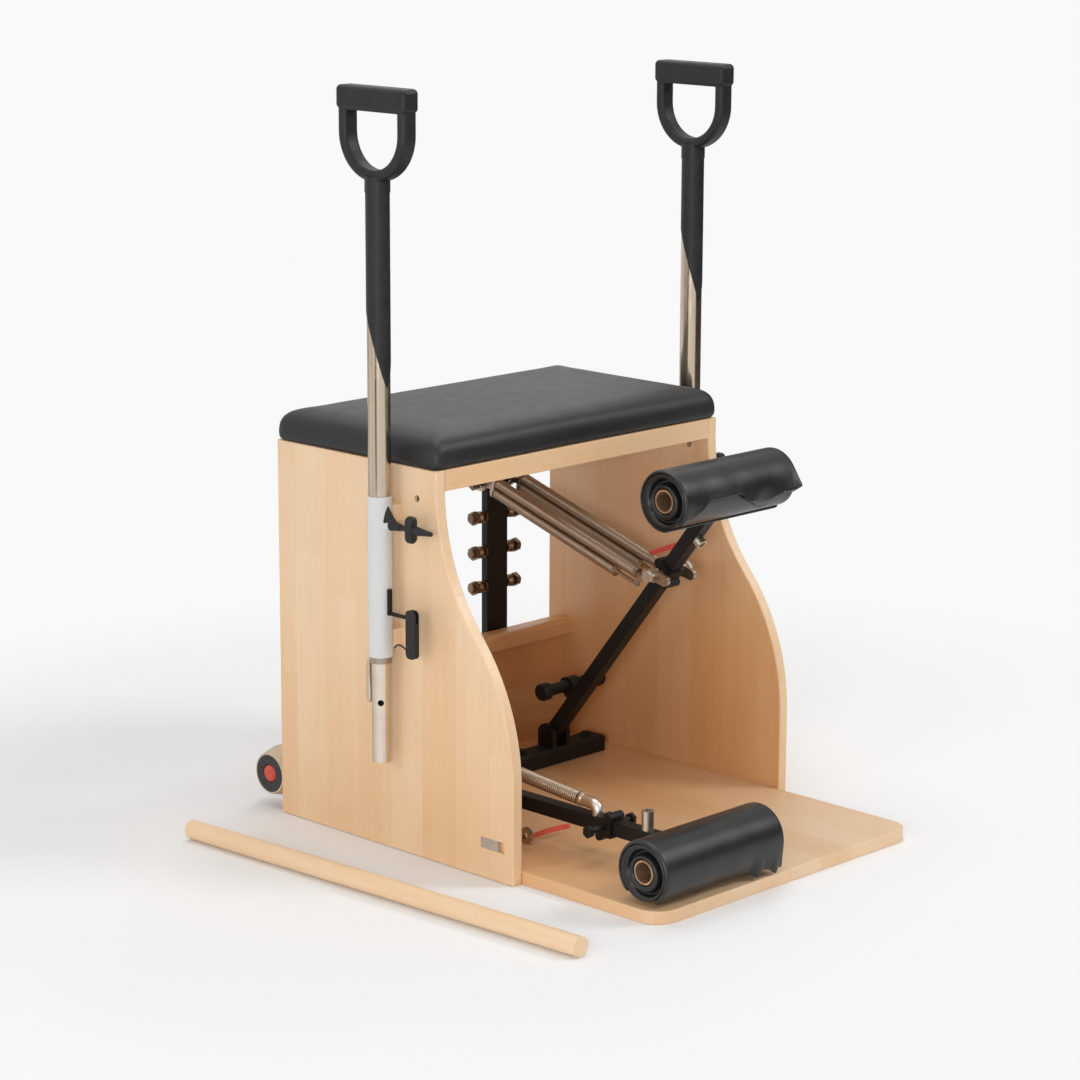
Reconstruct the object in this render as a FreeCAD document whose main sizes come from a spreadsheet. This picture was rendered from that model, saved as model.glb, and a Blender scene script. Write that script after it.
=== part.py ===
import FreeCAD, Part
import math
import os
import re
from FreeCAD import Placement, Rotation, Vector

# A pilates chair: two S-fronted side panels carry a padded seat, two sprung pedals swing on the base
# board, two D-grip handles slide in sleeves on the sides, and two wheels stand at the rear.
# Millimetres. +Z is up, the front faces -Y, and the origin is the middle of the base board's underside.

sizes = {
    # wooden frame
    "chair_width": 580, "panel_height": 560, "panel_thick": 18, "panel_depth": 480, "panel_top_depth": 330,
    "curve_drop": 24, "curve_foot": 138, "wood_ease": 2, "panel_hole_radius": 5, "panel_hole_back": 38,
    "panel_hole_drop": 43, "board_length": 734, "board_thick": 18, "board_corner": 35, "deck_thick": 30,
    "rear_thick": 18, "rear_inset": 18, "rear_height": 206, "cap_depth": 36, "cap_thick": 24, "cap_round": 9,
    "joint_radius": 5, "joint_length": 36, "joint_in_panel": 12, "joint_gap": 1,
    "cushion_height": 47, "cushion_corner": 26, "cushion_draw": 3,
    "keeper_length": 46, "keeper_height": 16, "keeper_depth": 4, "keeper_back": 17, "keeper_level": 51,
    "plate_length": 34, "plate_thick": 3, "mortise_depth": 8,
    # posts and their studs
    "post_width": 44, "post_thick": 14, "post_foot": 50, "post_ease": 2,
    "peg_radius": 6, "peg_length": 18, "peg_head_radius": 11, "peg_head": 8, "peg_tip_radius": 7, "peg_tip": 3,
    "peg_spigot_radius": 4, "peg_spigot": 10, "peg_flange_radius": 9, "peg_flange": 3,
    "peg_drop": 90, "peg_pitch": 55,
    # pivot blocks and fasteners
    "pivot_from_rear": 141, "block_length": 190, "block_depth": 36, "block_height": 26, "block_ease": 5,
    "ear_thick": 8, "ear_radius": 16, "ear_gap": 1, "pin_radius": 6, "pin_head_radius": 9, "pin_head": 4,
    "bolt_radius": 4, "bolt_bite": 12, "bolt_head_radius": 7.5, "bolt_head": 5.5, "block_bolt_offset": 70,
    "post_bolt_low": 90, "post_bolt_pitch": 66,
    "screw_radius": 3, "screw_head_radius": 6, "screw_head": 3, "screw_bite": 8,
    # pedals
    "arm_offset": 140, "arm_size": 20, "arm_wall": 2, "arm_length": 552, "arm_tail": 14, "bush_radius": 9,
    "pedal_lift": 51.7, "tube_radius": 17, "tube_recess": 3, "pad_radius": 45, "pad_length": 242,
    "pad_inner": 11, "pad_shift": 8, "pad_shoulder": 9, "pad_floor_gap": 1, "pad_slot_gap": 1,
    "left_collar_back": 172, "right_collar_back": 182, "collar_length": 28, "collar_size": 28, "lobe_radius": 7, "lobe_shift": 8,
    "bar_place": 85, "bar_radius": 13.5, "bar_length": 132, "bar_round": 4, "bar_neck": 9, "knob_length": 18,
    "stud_back": 100, "stud_radius": 9, "stud_height": 28, "stud_bore": 5, "stud_depth": 20, "stud_below": 11, "stud_below_depth": 8,
    "spring_pin_radius": 5, "spring_pin_reach": 40, "spring_pin_head": 6, "spring_pin_head_radius": 9,
    # springs
    "spring_offset": 28.5, "twin_radius": 6.5, "twin_wire": 1.5, "twin_pitch": 16.4, "twin_drop": 20.1,
    "twin_lift": 5.8, "upper_seat": 35, "lower_seat": 74, "hook_seat": 34, "cross_height": 6, "stem_radius": 3,
    "eye_radius": 11, "eye_clear": 0.35, "eye_tail": 22, "tail_radius": 8, "fitting_thick": 6, "neck_width": 10,
    "disc_lip": 0.5, "disc_thick": 4, "plug_clear": 0.5, "plug_length": 2.5, "hook_bore": 9.2, "hook_radius": 14,
    "hook_play": 13.5, "lone_radius": 8.2, "lone_wire": 1.8, "lone_length": 280, "link_neck": 24,
    "parked_rise": 14.136, "parked_reach": 28, "parked_rod": 8.5, "parked_bend": 10, "parked_spigot": 6,
    "parked_bite": 6, "loose_offset": 178, "loose_reach": 254, "tab_width": 8, "tab_thick": 2, "tab_length": 60,
    "tab_tilt": 41, "loose_tab_length": 72,
    # handles
    "pole_offset": 30, "pole_from_rear": 249, "sleeve_radius": 17, "sleeve_bore": 15, "sleeve_length": 229,
    "sleeve_drop": 40, "collar_drop": 9, "collar_radius": 15.5, "bush_length": 12, "rod_radius": 13,
    "rod_bore": 10.5, "rod_below": 153, "rod_hole_radius": 4, "rod_hole_pitch": 50, "stop_hole_drop": 255,
    "stop_hole_radius": 4.5, "rod_plug": 40, "pole_radius": 16, "pole_wall": 2,
    "cover_thick": 0.8, "cover_length": 280.5, "cover_slant": 102, "cover_point": 29, "cover_top_gap": 0.1,
    "right_cover_trim": 53,
    "grip_rise": 392.5, "grip_round": 66, "grip_wall": 16, "grip_height": 128, "grip_depth": 27, "grip_ease": 7,
    "grip_bar_height": 33, "grip_bar_length": 136, "grip_bar_depth": 31, "grip_bar_ease": 7,
    "grip_neck_radius": 17.6, "grip_neck": 14, "socket_depth": 8,
    "saddle_width": 28, "saddle_height": 24, "saddle_inset": 26, "saddle_wrap": 6,
    "pin_drop": 39.5, "pull_radius": 4, "boss_radius": 8, "boss_length": 6, "wing_width": 16,
    "wing_height": 38, "wing_thick": 13, "wing_ease": 4, "wing_out": 39, "nose_radius": 7, "nose_tip": 3, "nose_length": 34,
    "clamp_rise": 64, "clamp_plate_height": 37, "clamp_plate_width": 6, "clamp_plate_thick": 4,
    "blade_thick": 3.2, "blade_height": 5, "blade_past": 3, "clamp_reach": 47, "clamp_pin_radius": 1.5,
    "lever_width": 8, "lever_depth": 19, "lever_length": 69, "lever_head": 12, "lever_slot": 4,
    "lever_slot_drop": 18, "lever_ease": 7,
    "clip_width": 8, "clip_thick": 2, "clip_length": 60, "clip_gap": 0.6,
    # wheels and floor dowel
    "wheel_radius": 31, "wheel_width": 32, "wheel_level": 50, "wheel_back": 35, "wheel_inset": 6,
    "wheel_flare": 38, "flare_width": 6, "wheel_ease": 1, "hub_radius": 20, "hub_recess": 3, "axle_radius": 5, "axle_head_radius": 9, "axle_head": 2.5,
    "web_gap": 2, "web_thick": 4, "web_height": 44, "flange_length": 36,
    "dowel_radius": 14, "dowel_length": 735, "dowel_aside": 154, "dowel_ahead": 3, "dowel_turn": 3.18,
    "dowel_clear": 0.3,
    # fits
    "fit_clear": 0.05, "seat_gap": 0.3, "overrun": 5,
}
peg_rows = 4
coil_turns = 16
rod_hole_count = 3
board_joint_shares = (0.12, 0.4, 0.68, 0.93)
rear_joint_shares = (0.25, 0.75)
deck_joint_shares = (0.15, 0.5, 0.85)
screw_shares = (0.27, 0.73)
cushion_level_shares = (0, 0.1, 0.38, 0.68, 0.86, 0.955, 1)
cushion_inset_shares = (0.15, 0.04, 0, 0.04, 0.19, 0.55)
crown_inset_share = 0.68364
sides = (("left", -1), ("right", 1))

doc = FreeCAD.newDocument("pilates_chair")
sheet = doc.addObject("Spreadsheet::Sheet", "Sizes")
for row, (alias, value) in enumerate(sizes.items(), 1):
    sheet.set(f"A{row}", alias)
    sheet.set(f"B{row}", str(value))
    sheet.setAlias(f"B{row}", alias)
doc.recompute()

# levels and places that follow another piece's size
places = {
    "curve_top": "(panel_height - curve_drop)",
    "peg_level": f"(panel_height - deck_thick - peg_drop - peg_pitch * {peg_rows - 1})",
    "left_collar_place": "(arm_length - left_collar_back)",
    "right_collar_place": "(arm_length - right_collar_back)",
    "stud_place": "(arm_length - stud_back)",
    "sleeve_top": "(panel_height - sleeve_drop)",
    "sleeve_foot": "(panel_height - sleeve_drop - sleeve_length)",
    "rod_foot": "(panel_height - sleeve_drop - sleeve_length - rod_below)",
    "pin_level": "(panel_height - sleeve_drop - pin_drop)",
    "clamp_level": "(panel_height - sleeve_drop - sleeve_length + clamp_rise)",
    "grip_base": "(panel_height + grip_rise)",
    "cover_front": "(panel_height + grip_rise - cover_length)",
}
# places that several pieces share, written in the sheet's names
half = "(chair_width / 2)"
inner = "(chair_width / 2 - panel_thick)"
rear = "(board_length / 2)"
foot_front = "(board_length / 2 - panel_depth)"
top_front = "(board_length / 2 - panel_top_depth)"
deck_under = "(panel_height - deck_thick)"
rear_back = "(board_length / 2 - rear_inset)"
rear_face = "(board_length / 2 - rear_inset - rear_thick)"
cap_under = "(rear_height - cap_thick)"
post_middle = f"({rear_back} + post_thick / 2)"
pivot_y = "(board_length / 2 - pivot_from_rear)"
pivot_z = "(board_thick + pad_radius + pad_floor_gap)"
block_top = "(board_thick + block_height)"
pole_x = "(chair_width / 2 + pole_offset)"
pole_y = "(board_length / 2 - pole_from_rear)"
grip_middle = "(grip_base + grip_round)"
grip_bar_under = "(grip_base + grip_height - grip_bar_height)"
pole_top = "(grip_base + socket_depth)"
tube_bore = "(dowel_radius + dowel_clear)"
wheel_y = "(board_length / 2 + wheel_back)"
wheel_inside = "(chair_width / 2 - wheel_inset - wheel_width)"
arm_top = f"({pivot_z} + arm_size / 2)"
twin_outer = "(twin_radius + twin_wire)"
twin_inner = "(twin_radius - twin_wire)"
lone_outer = "(lone_radius + lone_wire)"
lone_inner = "(lone_radius - lone_wire)"
lone_seat = "(link_neck + disc_thick)"
park_place = "(left_collar_place - collar_length / 2 - parked_rod - seat_gap)"

along_x = Rotation(Vector(0, 1, 0), 90)
along_y = Rotation(Vector(1, 0, 0), -90)
along_z = Rotation()
nodes = {}


def fill(text):
    whole = re.sub(r"[a-z]\w+", lambda word: places.get(word[0], word[0]), str(text))
    return re.sub(r"[a-z]\w+", lambda word: "Sizes." + word[0] if word[0] in sizes else word[0], whole)


def read(text):
    return float(sheet.evalExpression(fill(text)))


def bind(item, **terms):
    for name, text in terms.items():
        item.setExpression(name, fill(text))
    return item


def put(item, x=0, y=0, z=0, turn=along_z):
    item.Placement = Placement(Vector(), turn)
    for axis, text in zip("xyz", (x, y, z)):
        item.setExpression("Placement.Base." + axis, fill(text))
    return item


def keep(label, item):
    item.Label = label
    nodes[label] = item
    return item


def block(name, length, width, height, x=0, y=0, z=0):
    item = doc.addObject("Part::Box", name)
    bind(item, Length=length, Width=width, Height=height)
    return put(item, x, y, z)


def rod(name, radius, length, x=0, y=0, z=0, turn=along_z):
    item = doc.addObject("Part::Cylinder", name)
    bind(item, Radius=radius, Height=length)
    return put(item, x, y, z, turn)


def prism(name, corner_radius, length, x=0, y=0, z=0, turn=along_z):
    item = doc.addObject("Part::Prism", name)
    item.Polygon = 6
    bind(item, Circumradius=corner_radius, Height=length)
    return put(item, x, y, z, turn)


def fuse(name, *items):
    item = doc.addObject("Part::MultiFuse", name)
    item.Shapes = list(items)
    return item


def cut(name, base, *tools):
    item = doc.addObject("Part::Cut", name)
    item.Base = base
    if len(tools) == 1:
        item.Tool = tools[0]
    else:
        group = doc.addObject("Part::Compound", name + "_tools")
        group.Links = list(tools)
        item.Tool = group
    return item


def group(label, *items):
    item = doc.addObject("Part::Compound", label)
    item.Links = list(items)
    return keep(label, item)


def rounded(name, base, radius, chosen):
    # rounds the edges of base that the chosen test picks
    doc.recompute()
    item = doc.addObject("Part::Fillet", name)
    item.Base = base
    edges = enumerate(base.Shape.Edges, 1)
    item.Edges = [(index, read(radius), read(radius)) for index, edge in edges if chosen(edge)]
    return item


def shaped(name, shape, placement=Placement()):
    item = doc.addObject("Part::Feature", name)
    item.Shape = shape
    item.Placement = placement
    return item


def copies(label, *sets):
    # one node with a separate solid at each place: sets are (pattern piece, places) pairs
    doc.recompute()
    solids = [pattern.Shape.transformed(place.toMatrix()) for pattern, places in sets for place in places]
    return keep(label, shaped(label, Part.makeCompound(solids)))


def spot(x=0, y=0, z=0, turn=along_z):
    return Placement(Vector(read(x), read(y), read(z)), turn)


def draw(body, plane, name, *loops):
    # a sketch of closed loops; a step with one point is a line, with two an arc through the first of them
    sketch = body.newObject("Sketcher::SketchObject", name)
    support = [item for item in body.Origin.OriginFeatures if item.Role == plane][0]
    sketch.AttachmentSupport = (support, [""])
    sketch.MapMode = "FlatFace"
    for start, *steps in loops:
        here = Vector(*start)
        for step in steps:
            stops = [Vector(*point) for point in step]
            if len(stops) == 1:
                sketch.addGeometry(Part.LineSegment(here, stops[0]))
            else:
                sketch.addGeometry(Part.ArcOfCircle(here, *stops))
            here = stops[-1]
    return sketch


def pad(name, plane, thick, *loops):
    body = doc.addObject("PartDesign::Body", name)
    feature = body.newObject("PartDesign::Pad", name + "_pad")
    feature.Profile = draw(body, plane, name + "_sketch", *loops)
    bind(feature, Length=thick)
    doc.recompute()
    return body


def turned(name, *loop):
    # a body turned about the X axis from a half profile of (place along X, radius) points
    body = doc.addObject("PartDesign::Body", name)
    sketch = draw(body, "XY_Plane", name + "_sketch", loop)
    feature = body.newObject("PartDesign::Revolution", name + "_turn")
    feature.Profile = sketch
    feature.ReferenceAxis = (sketch, ["H_Axis"])
    feature.Angle = 360
    doc.recompute()
    return body


def eased(body, radius, chosen):
    # rounds the chosen edges of the body's last feature
    last = body.Tip
    edges = enumerate(last.Shape.Edges, 1)
    names = [f"Edge{index}" for index, edge in edges if chosen(edge)]
    feature = body.newObject("PartDesign::Fillet", body.Name + "_ease")
    feature.Base = (last, names)
    bind(feature, Radius=radius)
    body.Tip = feature
    doc.recompute()
    return body


def flat_in(axis):
    # true for an edge that lies in one plane across the axis
    return lambda edge: getattr(edge.BoundBox, axis + "Length") < read("fit_clear")


def runs_along(axis):
    return lambda edge: getattr(edge.BoundBox, axis + "Length") > edge.Length - read("fit_clear")


def joint_places():
    # (y, z) of each hidden dowel that joins a board's end to a side panel
    low = [(f"{foot_front} + panel_depth * {share}", "board_thick / 2") for share in board_joint_shares]
    back = [(f"{rear_back} - rear_thick / 2", f"board_thick + ({cap_under} - board_thick) * {share}")
            for share in rear_joint_shares]
    top = [(f"{top_front} + panel_top_depth * {share}", f"{deck_under} + deck_thick / 2")
           for share in deck_joint_shares]
    return low, back, top


def joint_holes(name, places):
    # the dowel holes at both ends of a board, each a little deeper than its dowel
    return [rod(f"{name}_{side}_{index}", "joint_radius + fit_clear", "joint_length + joint_gap * 2",
                f"{sign} * ({inner} + joint_in_panel - joint_length / 2) - joint_length / 2 - joint_gap",
                y, z, along_x)
            for side, sign in sides for index, (y, z) in enumerate(places)]


def wooden_frame():
    low, back, top = joint_places()
    board_holes = joint_holes("board_joint", low)
    rear_holes = joint_holes("rear_joint", back)
    deck_holes = joint_holes("deck_joint", top)
    pin = rod("joint_dowel", "joint_radius", "joint_length")
    copies("joint_dowels", (pin, [
        spot(f"{sign} * ({inner} + joint_in_panel - joint_length / 2) - joint_length / 2", y, z, along_x)
        for side, sign in sides for y, z in low + back + top]))

    # the S of the front edge is two equal arcs that meet at their inflection
    reach = read("(panel_depth - panel_top_depth) / 2")
    rise = read("(curve_top - curve_foot) / 2")
    bend = (reach ** 2 + rise ** 2) / reach / 2
    sweep = math.atan2(reach, rise)
    back_y, foot_y, top_y = read(rear), read(foot_front), read(top_front)
    high, low_z = read("curve_top"), read("curve_foot")
    belly = (top_y - bend + bend * math.cos(sweep), high - bend * math.sin(sweep))
    hollow = (foot_y + bend - bend * math.cos(sweep), low_z + bend * math.sin(sweep))
    outline = ((back_y, 0), [(back_y, read("panel_height"))], [(top_y, read("panel_height"))], [(top_y, high)],
               [belly, (top_y - reach, high - rise)], [hollow, (foot_y, low_z)], [(foot_y, 0)], [(back_y, 0)])
    for side, sign in sides:
        name = side + "_side_panel"
        body = eased(pad(name + "_board", "YZ_Plane", "panel_thick", outline), "wood_ease", flat_in("X"))
        put(body, f"{sign} * ({half} - panel_thick / 2) - panel_thick / 2")
        outside = f"{sign} * {half}"
        hole = rod(name + "_hole", "panel_hole_radius", "panel_thick + overrun * 2",
                   f"{sign} * ({half} - panel_thick / 2) - panel_thick / 2 - overrun",
                   f"{top_front} + panel_hole_back", "panel_height - panel_hole_drop", along_x)
        keeper = block(name + "_keeper", "keeper_depth * 2", "keeper_length", "keeper_height",
                       f"{outside} - keeper_depth", f"{foot_front} + keeper_back",
                       "keeper_level - keeper_height / 2")
        mortise = block(name + "_mortise", "mortise_depth * 2", "keeper_length - plate_length",
                        "keeper_height", f"{outside} - mortise_depth", f"{foot_front} + keeper_back",
                        "keeper_level - keeper_height / 2")
        near = [item for item in board_holes + rear_holes + deck_holes if f"_{side}_" in item.Name]
        screws = screw_holes(side, sign)
        keep(name, cut(name, body, hole, keeper, mortise, *near, *screws))
    plate = block("keeper_plate", "plate_thick", "plate_length", "keeper_height")
    copies("keeper_plates", (plate, [
        spot(f"{sign} * ({half} - keeper_depth + plate_thick / 2) - plate_thick / 2",
             f"{foot_front} + keeper_back + keeper_length - plate_length", "keeper_level - keeper_height / 2")
        for side, sign in sides]))

    wide, front, corner = read(inner), -read(rear), read("board_corner")
    tuck = corner - corner / math.sqrt(2)
    board = pad("base_board_blank", "XY_Plane", "board_thick", (
        (-wide, read(rear)), [(-wide, front + corner)],
        [(-wide + tuck, front + tuck), (-wide + corner, front)], [(wide - corner, front)],
        [(wide - tuck, front + tuck), (wide, front + corner)], [(wide, read(rear))], [(-wide, read(rear))]))
    eased(board, "wood_ease", lambda edge: edge.BoundBox.ZMin > read("board_thick / 2")
          and edge.BoundBox.YMin < read(foot_front))
    bolts = [rod(f"block_bolt_hole_{side}_{index}", "bolt_radius + fit_clear", "bolt_bite + overrun",
                 f"{sign} * arm_offset + {turn} * block_bolt_offset", pivot_y, "board_thick - bolt_bite")
             for side, sign in sides for index, turn in enumerate((-1, 1))]
    keep("base_board", cut("base_board", board, *board_holes, *bolts))

    plank = block("rear_plank", f"{inner} * 2", "rear_thick", f"{cap_under} - board_thick",
                  f"-{inner}", rear_face, "board_thick")
    bores = [rod(f"post_bolt_hole_{side}_{index}", "bolt_radius + fit_clear", "bolt_bite + overrun",
                 f"{sign} * arm_offset", f"{rear_back} - bolt_bite", post_bolt_level(index), along_y)
             for side, sign in sides for index in range(2)]
    screws = [rod(f"web_screw_hole_{side}_{index}", "screw_radius + fit_clear", "screw_bite + overrun",
                  f"{sign} * ({wheel_inside} - web_gap - flange_length / 2)", f"{rear_back} - screw_bite",
                  web_screw_level(share), along_y)
              for side, sign in sides for index, share in enumerate(screw_shares)]
    keep("rear_panel", cut("rear_panel", plank, *rear_holes, *bores, *screws))
    rail = block("cap_rail", f"{inner} * 2", "cap_depth", "cap_thick", f"-{inner}",
                 f"{rear_back} - cap_depth", cap_under)
    keep("rear_cap", rounded("rear_cap", rail, "cap_round",
                             lambda edge: edge.BoundBox.ZMin > read(f"{cap_under} + cap_thick / 2")))
    deck = block("deck_blank", f"{inner} * 2", "panel_top_depth", "deck_thick", f"-{inner}", top_front, deck_under)
    soft = rounded("deck_eased", deck, "wood_ease", lambda edge: edge.BoundBox.YMax < read(f"{top_front} + wood_ease")
                   and runs_along("X")(edge))
    keep("seat_deck", cut("seat_deck", soft, *deck_holes))


def seat_cushion():
    # rounded rectangles with sides drawn in between the corners, stacked up to a low crown
    depth, wide, corner = read("panel_top_depth / 2"), read(half), read("cushion_corner")
    tall, draw_in = read("cushion_height"), read("cushion_draw")
    tuck = corner - corner / math.sqrt(2)
    wires = []
    insets = [tall * share for share in cushion_inset_shares] + [depth * crown_inset_share]
    for level_share, inset in zip(cushion_level_shares, insets):
        a, b, z = wide - inset, depth - inset, tall * level_share
        quarter = [((-a + corner, -b), (0, -b + draw_in), (a - corner, -b)),
                   ((a - corner, -b), (a - tuck, -b + tuck), (a, -b + corner)),
                   ((a, -b + corner), (a - draw_in, 0), (a, b - corner)),
                   ((a, b - corner), (a - tuck, b - tuck), (a - corner, b))]
        runs = quarter + [[(-x, -y) for x, y in run] for run in quarter]
        wires.append(Part.Wire([Part.Arc(*[Vector(x, y, z) for x, y in run]).toShape() for run in runs]))
    shape = Part.makeLoft(wires[:-1], True, False).fuse(Part.makeLoft(wires[-2:], True, True))
    keep("seat_cushion", shaped("seat_cushion", shape, spot(0, f"{rear} - panel_top_depth / 2", "panel_height")))


def post_bolt_level(index):
    return f"post_bolt_low + post_bolt_pitch * {index}"


def web_screw_level(share):
    return f"wheel_level - web_height / 2 + web_height * {share}"


def saddle_levels():
    return "sleeve_foot + saddle_inset", "sleeve_top - saddle_inset"


def screw_holes(side, sign):
    # each saddle screw passes the panel from inside, with its head sunk in the inner face
    holes = []
    for index, level in enumerate(saddle_levels()):
        name = f"{side}_saddle_screw_hole_{index}"
        holes.append(rod(name, "screw_radius + fit_clear", "panel_thick + overrun",
                         f"{sign} * ({half} - panel_thick / 2 + overrun / 2) - panel_thick / 2 - overrun / 2",
                         pole_y, level, along_x))
        holes.append(rod(name + "_sink", "screw_head_radius + fit_clear", "screw_head + overrun",
                         f"{sign} * ({inner} + screw_head / 2 - overrun / 2) - screw_head / 2 - overrun / 2",
                         pole_y, level, along_x))
    return holes


def spring_posts():
    posts = []
    for side, sign in sides:
        bar = block(side + "_post_bar", "post_width", "post_thick", f"{deck_under} - post_foot",
                    f"{sign} * arm_offset - post_width / 2", rear_back, "post_foot")
        soft = rounded(side + "_post_eased", bar, "post_ease", runs_along("Z"))
        spigots = [rod(f"{side}_peg_hole_{index}_{turn + 1}", "peg_spigot_radius + fit_clear",
                       "peg_spigot + joint_gap + overrun",
                       f"{sign} * arm_offset + {turn} * (post_width / 2 - peg_spigot / 2 - joint_gap / 2 + overrun / 2)"
                       " - peg_spigot / 2 - joint_gap / 2 - overrun / 2",
                       post_middle, f"peg_level + peg_pitch * {index}", along_x)
                   for index in range(peg_rows) for turn in (-1, 1)]
        bolts = [rod(f"{side}_post_bolt_bore_{index}", "bolt_radius + fit_clear", "post_thick + overrun * 2",
                     f"{sign} * arm_offset", f"{rear_back} - overrun", post_bolt_level(index), along_y)
                 for index in range(2)]
        posts.append(cut(side + "_post", soft, *spigots, *bolts))
    group("spring_posts", *posts)

    # a stud on +X: spigot in the post, flange, shank for the spring's eye, faceted head and round tip
    peg = fuse("peg",
               rod("peg_spigot_rod", "peg_spigot_radius", "peg_spigot", "-peg_spigot", turn=along_x),
               rod("peg_flange_disc", "peg_flange_radius", "peg_flange", turn=along_x),
               rod("peg_shank", "peg_radius", "peg_length", turn=along_x),
               prism("peg_head_hex", "peg_head_radius", "peg_head", "peg_length", turn=along_x),
               rod("peg_tip_disc", "peg_tip_radius", "peg_tip", "peg_length + peg_head", turn=along_x))
    flip = Rotation(Vector(0, 0, 1), 180)
    copies("spring_studs", (peg, [
        spot(f"{sign} * arm_offset + {turn} * post_width / 2", post_middle, f"peg_level + peg_pitch * {index}",
             along_z if turn > 0 else flip)
        for side, sign in sides for turn in (-1, 1) for index in range(peg_rows)]))


def pivot_blocks():
    blocks = []
    ear_inside = "(arm_size / 2 + ear_gap)"
    for side, sign in sides:
        bar = block(side + "_block_bar", "block_length", "block_depth", "block_height",
                    "-block_length / 2", "-block_depth / 2", f"board_thick - {pivot_z}")
        soft = rounded(side + "_block_eased", bar, "block_ease",
                       lambda edge: edge.BoundBox.ZMax > read(f"{block_top} - {pivot_z} - block_ease")
                       and edge.BoundBox.ZLength < read("fit_clear"))
        ears = []
        for index, start in enumerate((ear_inside, f"-{ear_inside} - ear_thick")):
            ears.append(block(f"{side}_ear_{index}", "ear_thick", "ear_radius * 2", f"{pivot_z} - {block_top} + block_ease",
                              start, "-ear_radius", f"{block_top} - {pivot_z} - block_ease"))
            ears.append(rod(f"{side}_ear_round_{index}", "ear_radius", "ear_thick", start, turn=along_x))
        body = fuse(side + "_block_body", soft, *ears)
        bore = rod(side + "_block_bore", "pin_radius + fit_clear", "block_length", "-block_length / 2", turn=along_x)
        bolts = [rod(f"{side}_block_bolt_bore_{index}", "bolt_radius + fit_clear", "block_height + overrun * 2",
                     f"{turn} * block_bolt_offset", 0, f"board_thick - {pivot_z} - overrun")
                 for index, turn in enumerate((-1, 1))]
        blocks.append(put(cut(side + "_block", body, bore, *bolts), f"{sign} * arm_offset", pivot_y, pivot_z))
    group("pivot_blocks", *blocks)

    outside = f"({ear_inside} + ear_thick)"
    pin = fuse("hinge_pin",
               rod("hinge_pin_shaft", "pin_radius", f"{outside} * 2 + pin_head", f"-{outside} - pin_head", turn=along_x),
               rod("hinge_pin_head", "pin_head_radius", "pin_head", outside, turn=along_x))
    copies("pivot_pins", (pin, [spot(f"{sign} * arm_offset", pivot_y, pivot_z) for side, sign in sides]))

    # bolts point along -Z from the underside of their heads
    long_bolt = fuse("block_bolt",
                     rod("block_bolt_shank", "bolt_radius", "block_height + bolt_bite", 0, 0, "-block_height - bolt_bite"),
                     prism("block_bolt_head", "bolt_head_radius", "bolt_head"))
    post_bolt = fuse("post_bolt",
                     rod("post_bolt_shank", "bolt_radius", "post_thick + bolt_bite", 0, 0, "-post_thick - bolt_bite"),
                     prism("post_bolt_head", "bolt_head_radius", "bolt_head"))
    copies("frame_bolts",
           (long_bolt, [spot(f"{sign} * arm_offset + {turn} * block_bolt_offset", pivot_y, block_top)
                        for side, sign in sides for turn in (-1, 1)]),
           (post_bolt, [spot(f"{sign} * arm_offset", f"{rear_back} + post_thick", post_bolt_level(index), along_y)
                        for side, sign in sides for index in range(2)]))


def on_pedal(label, item, side, sign):
    # pedal pieces are made about the hinge, with the arm along -Y; the right pedal stands lifted
    put(item, f"{sign} * arm_offset", pivot_y, pivot_z, Rotation(Vector(1, 0, 0), -read("pedal_lift")))
    item.setExpression("Placement.Rotation.Angle", fill("-pedal_lift" if side == "right" else "0"))
    return keep(label, item)


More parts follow.
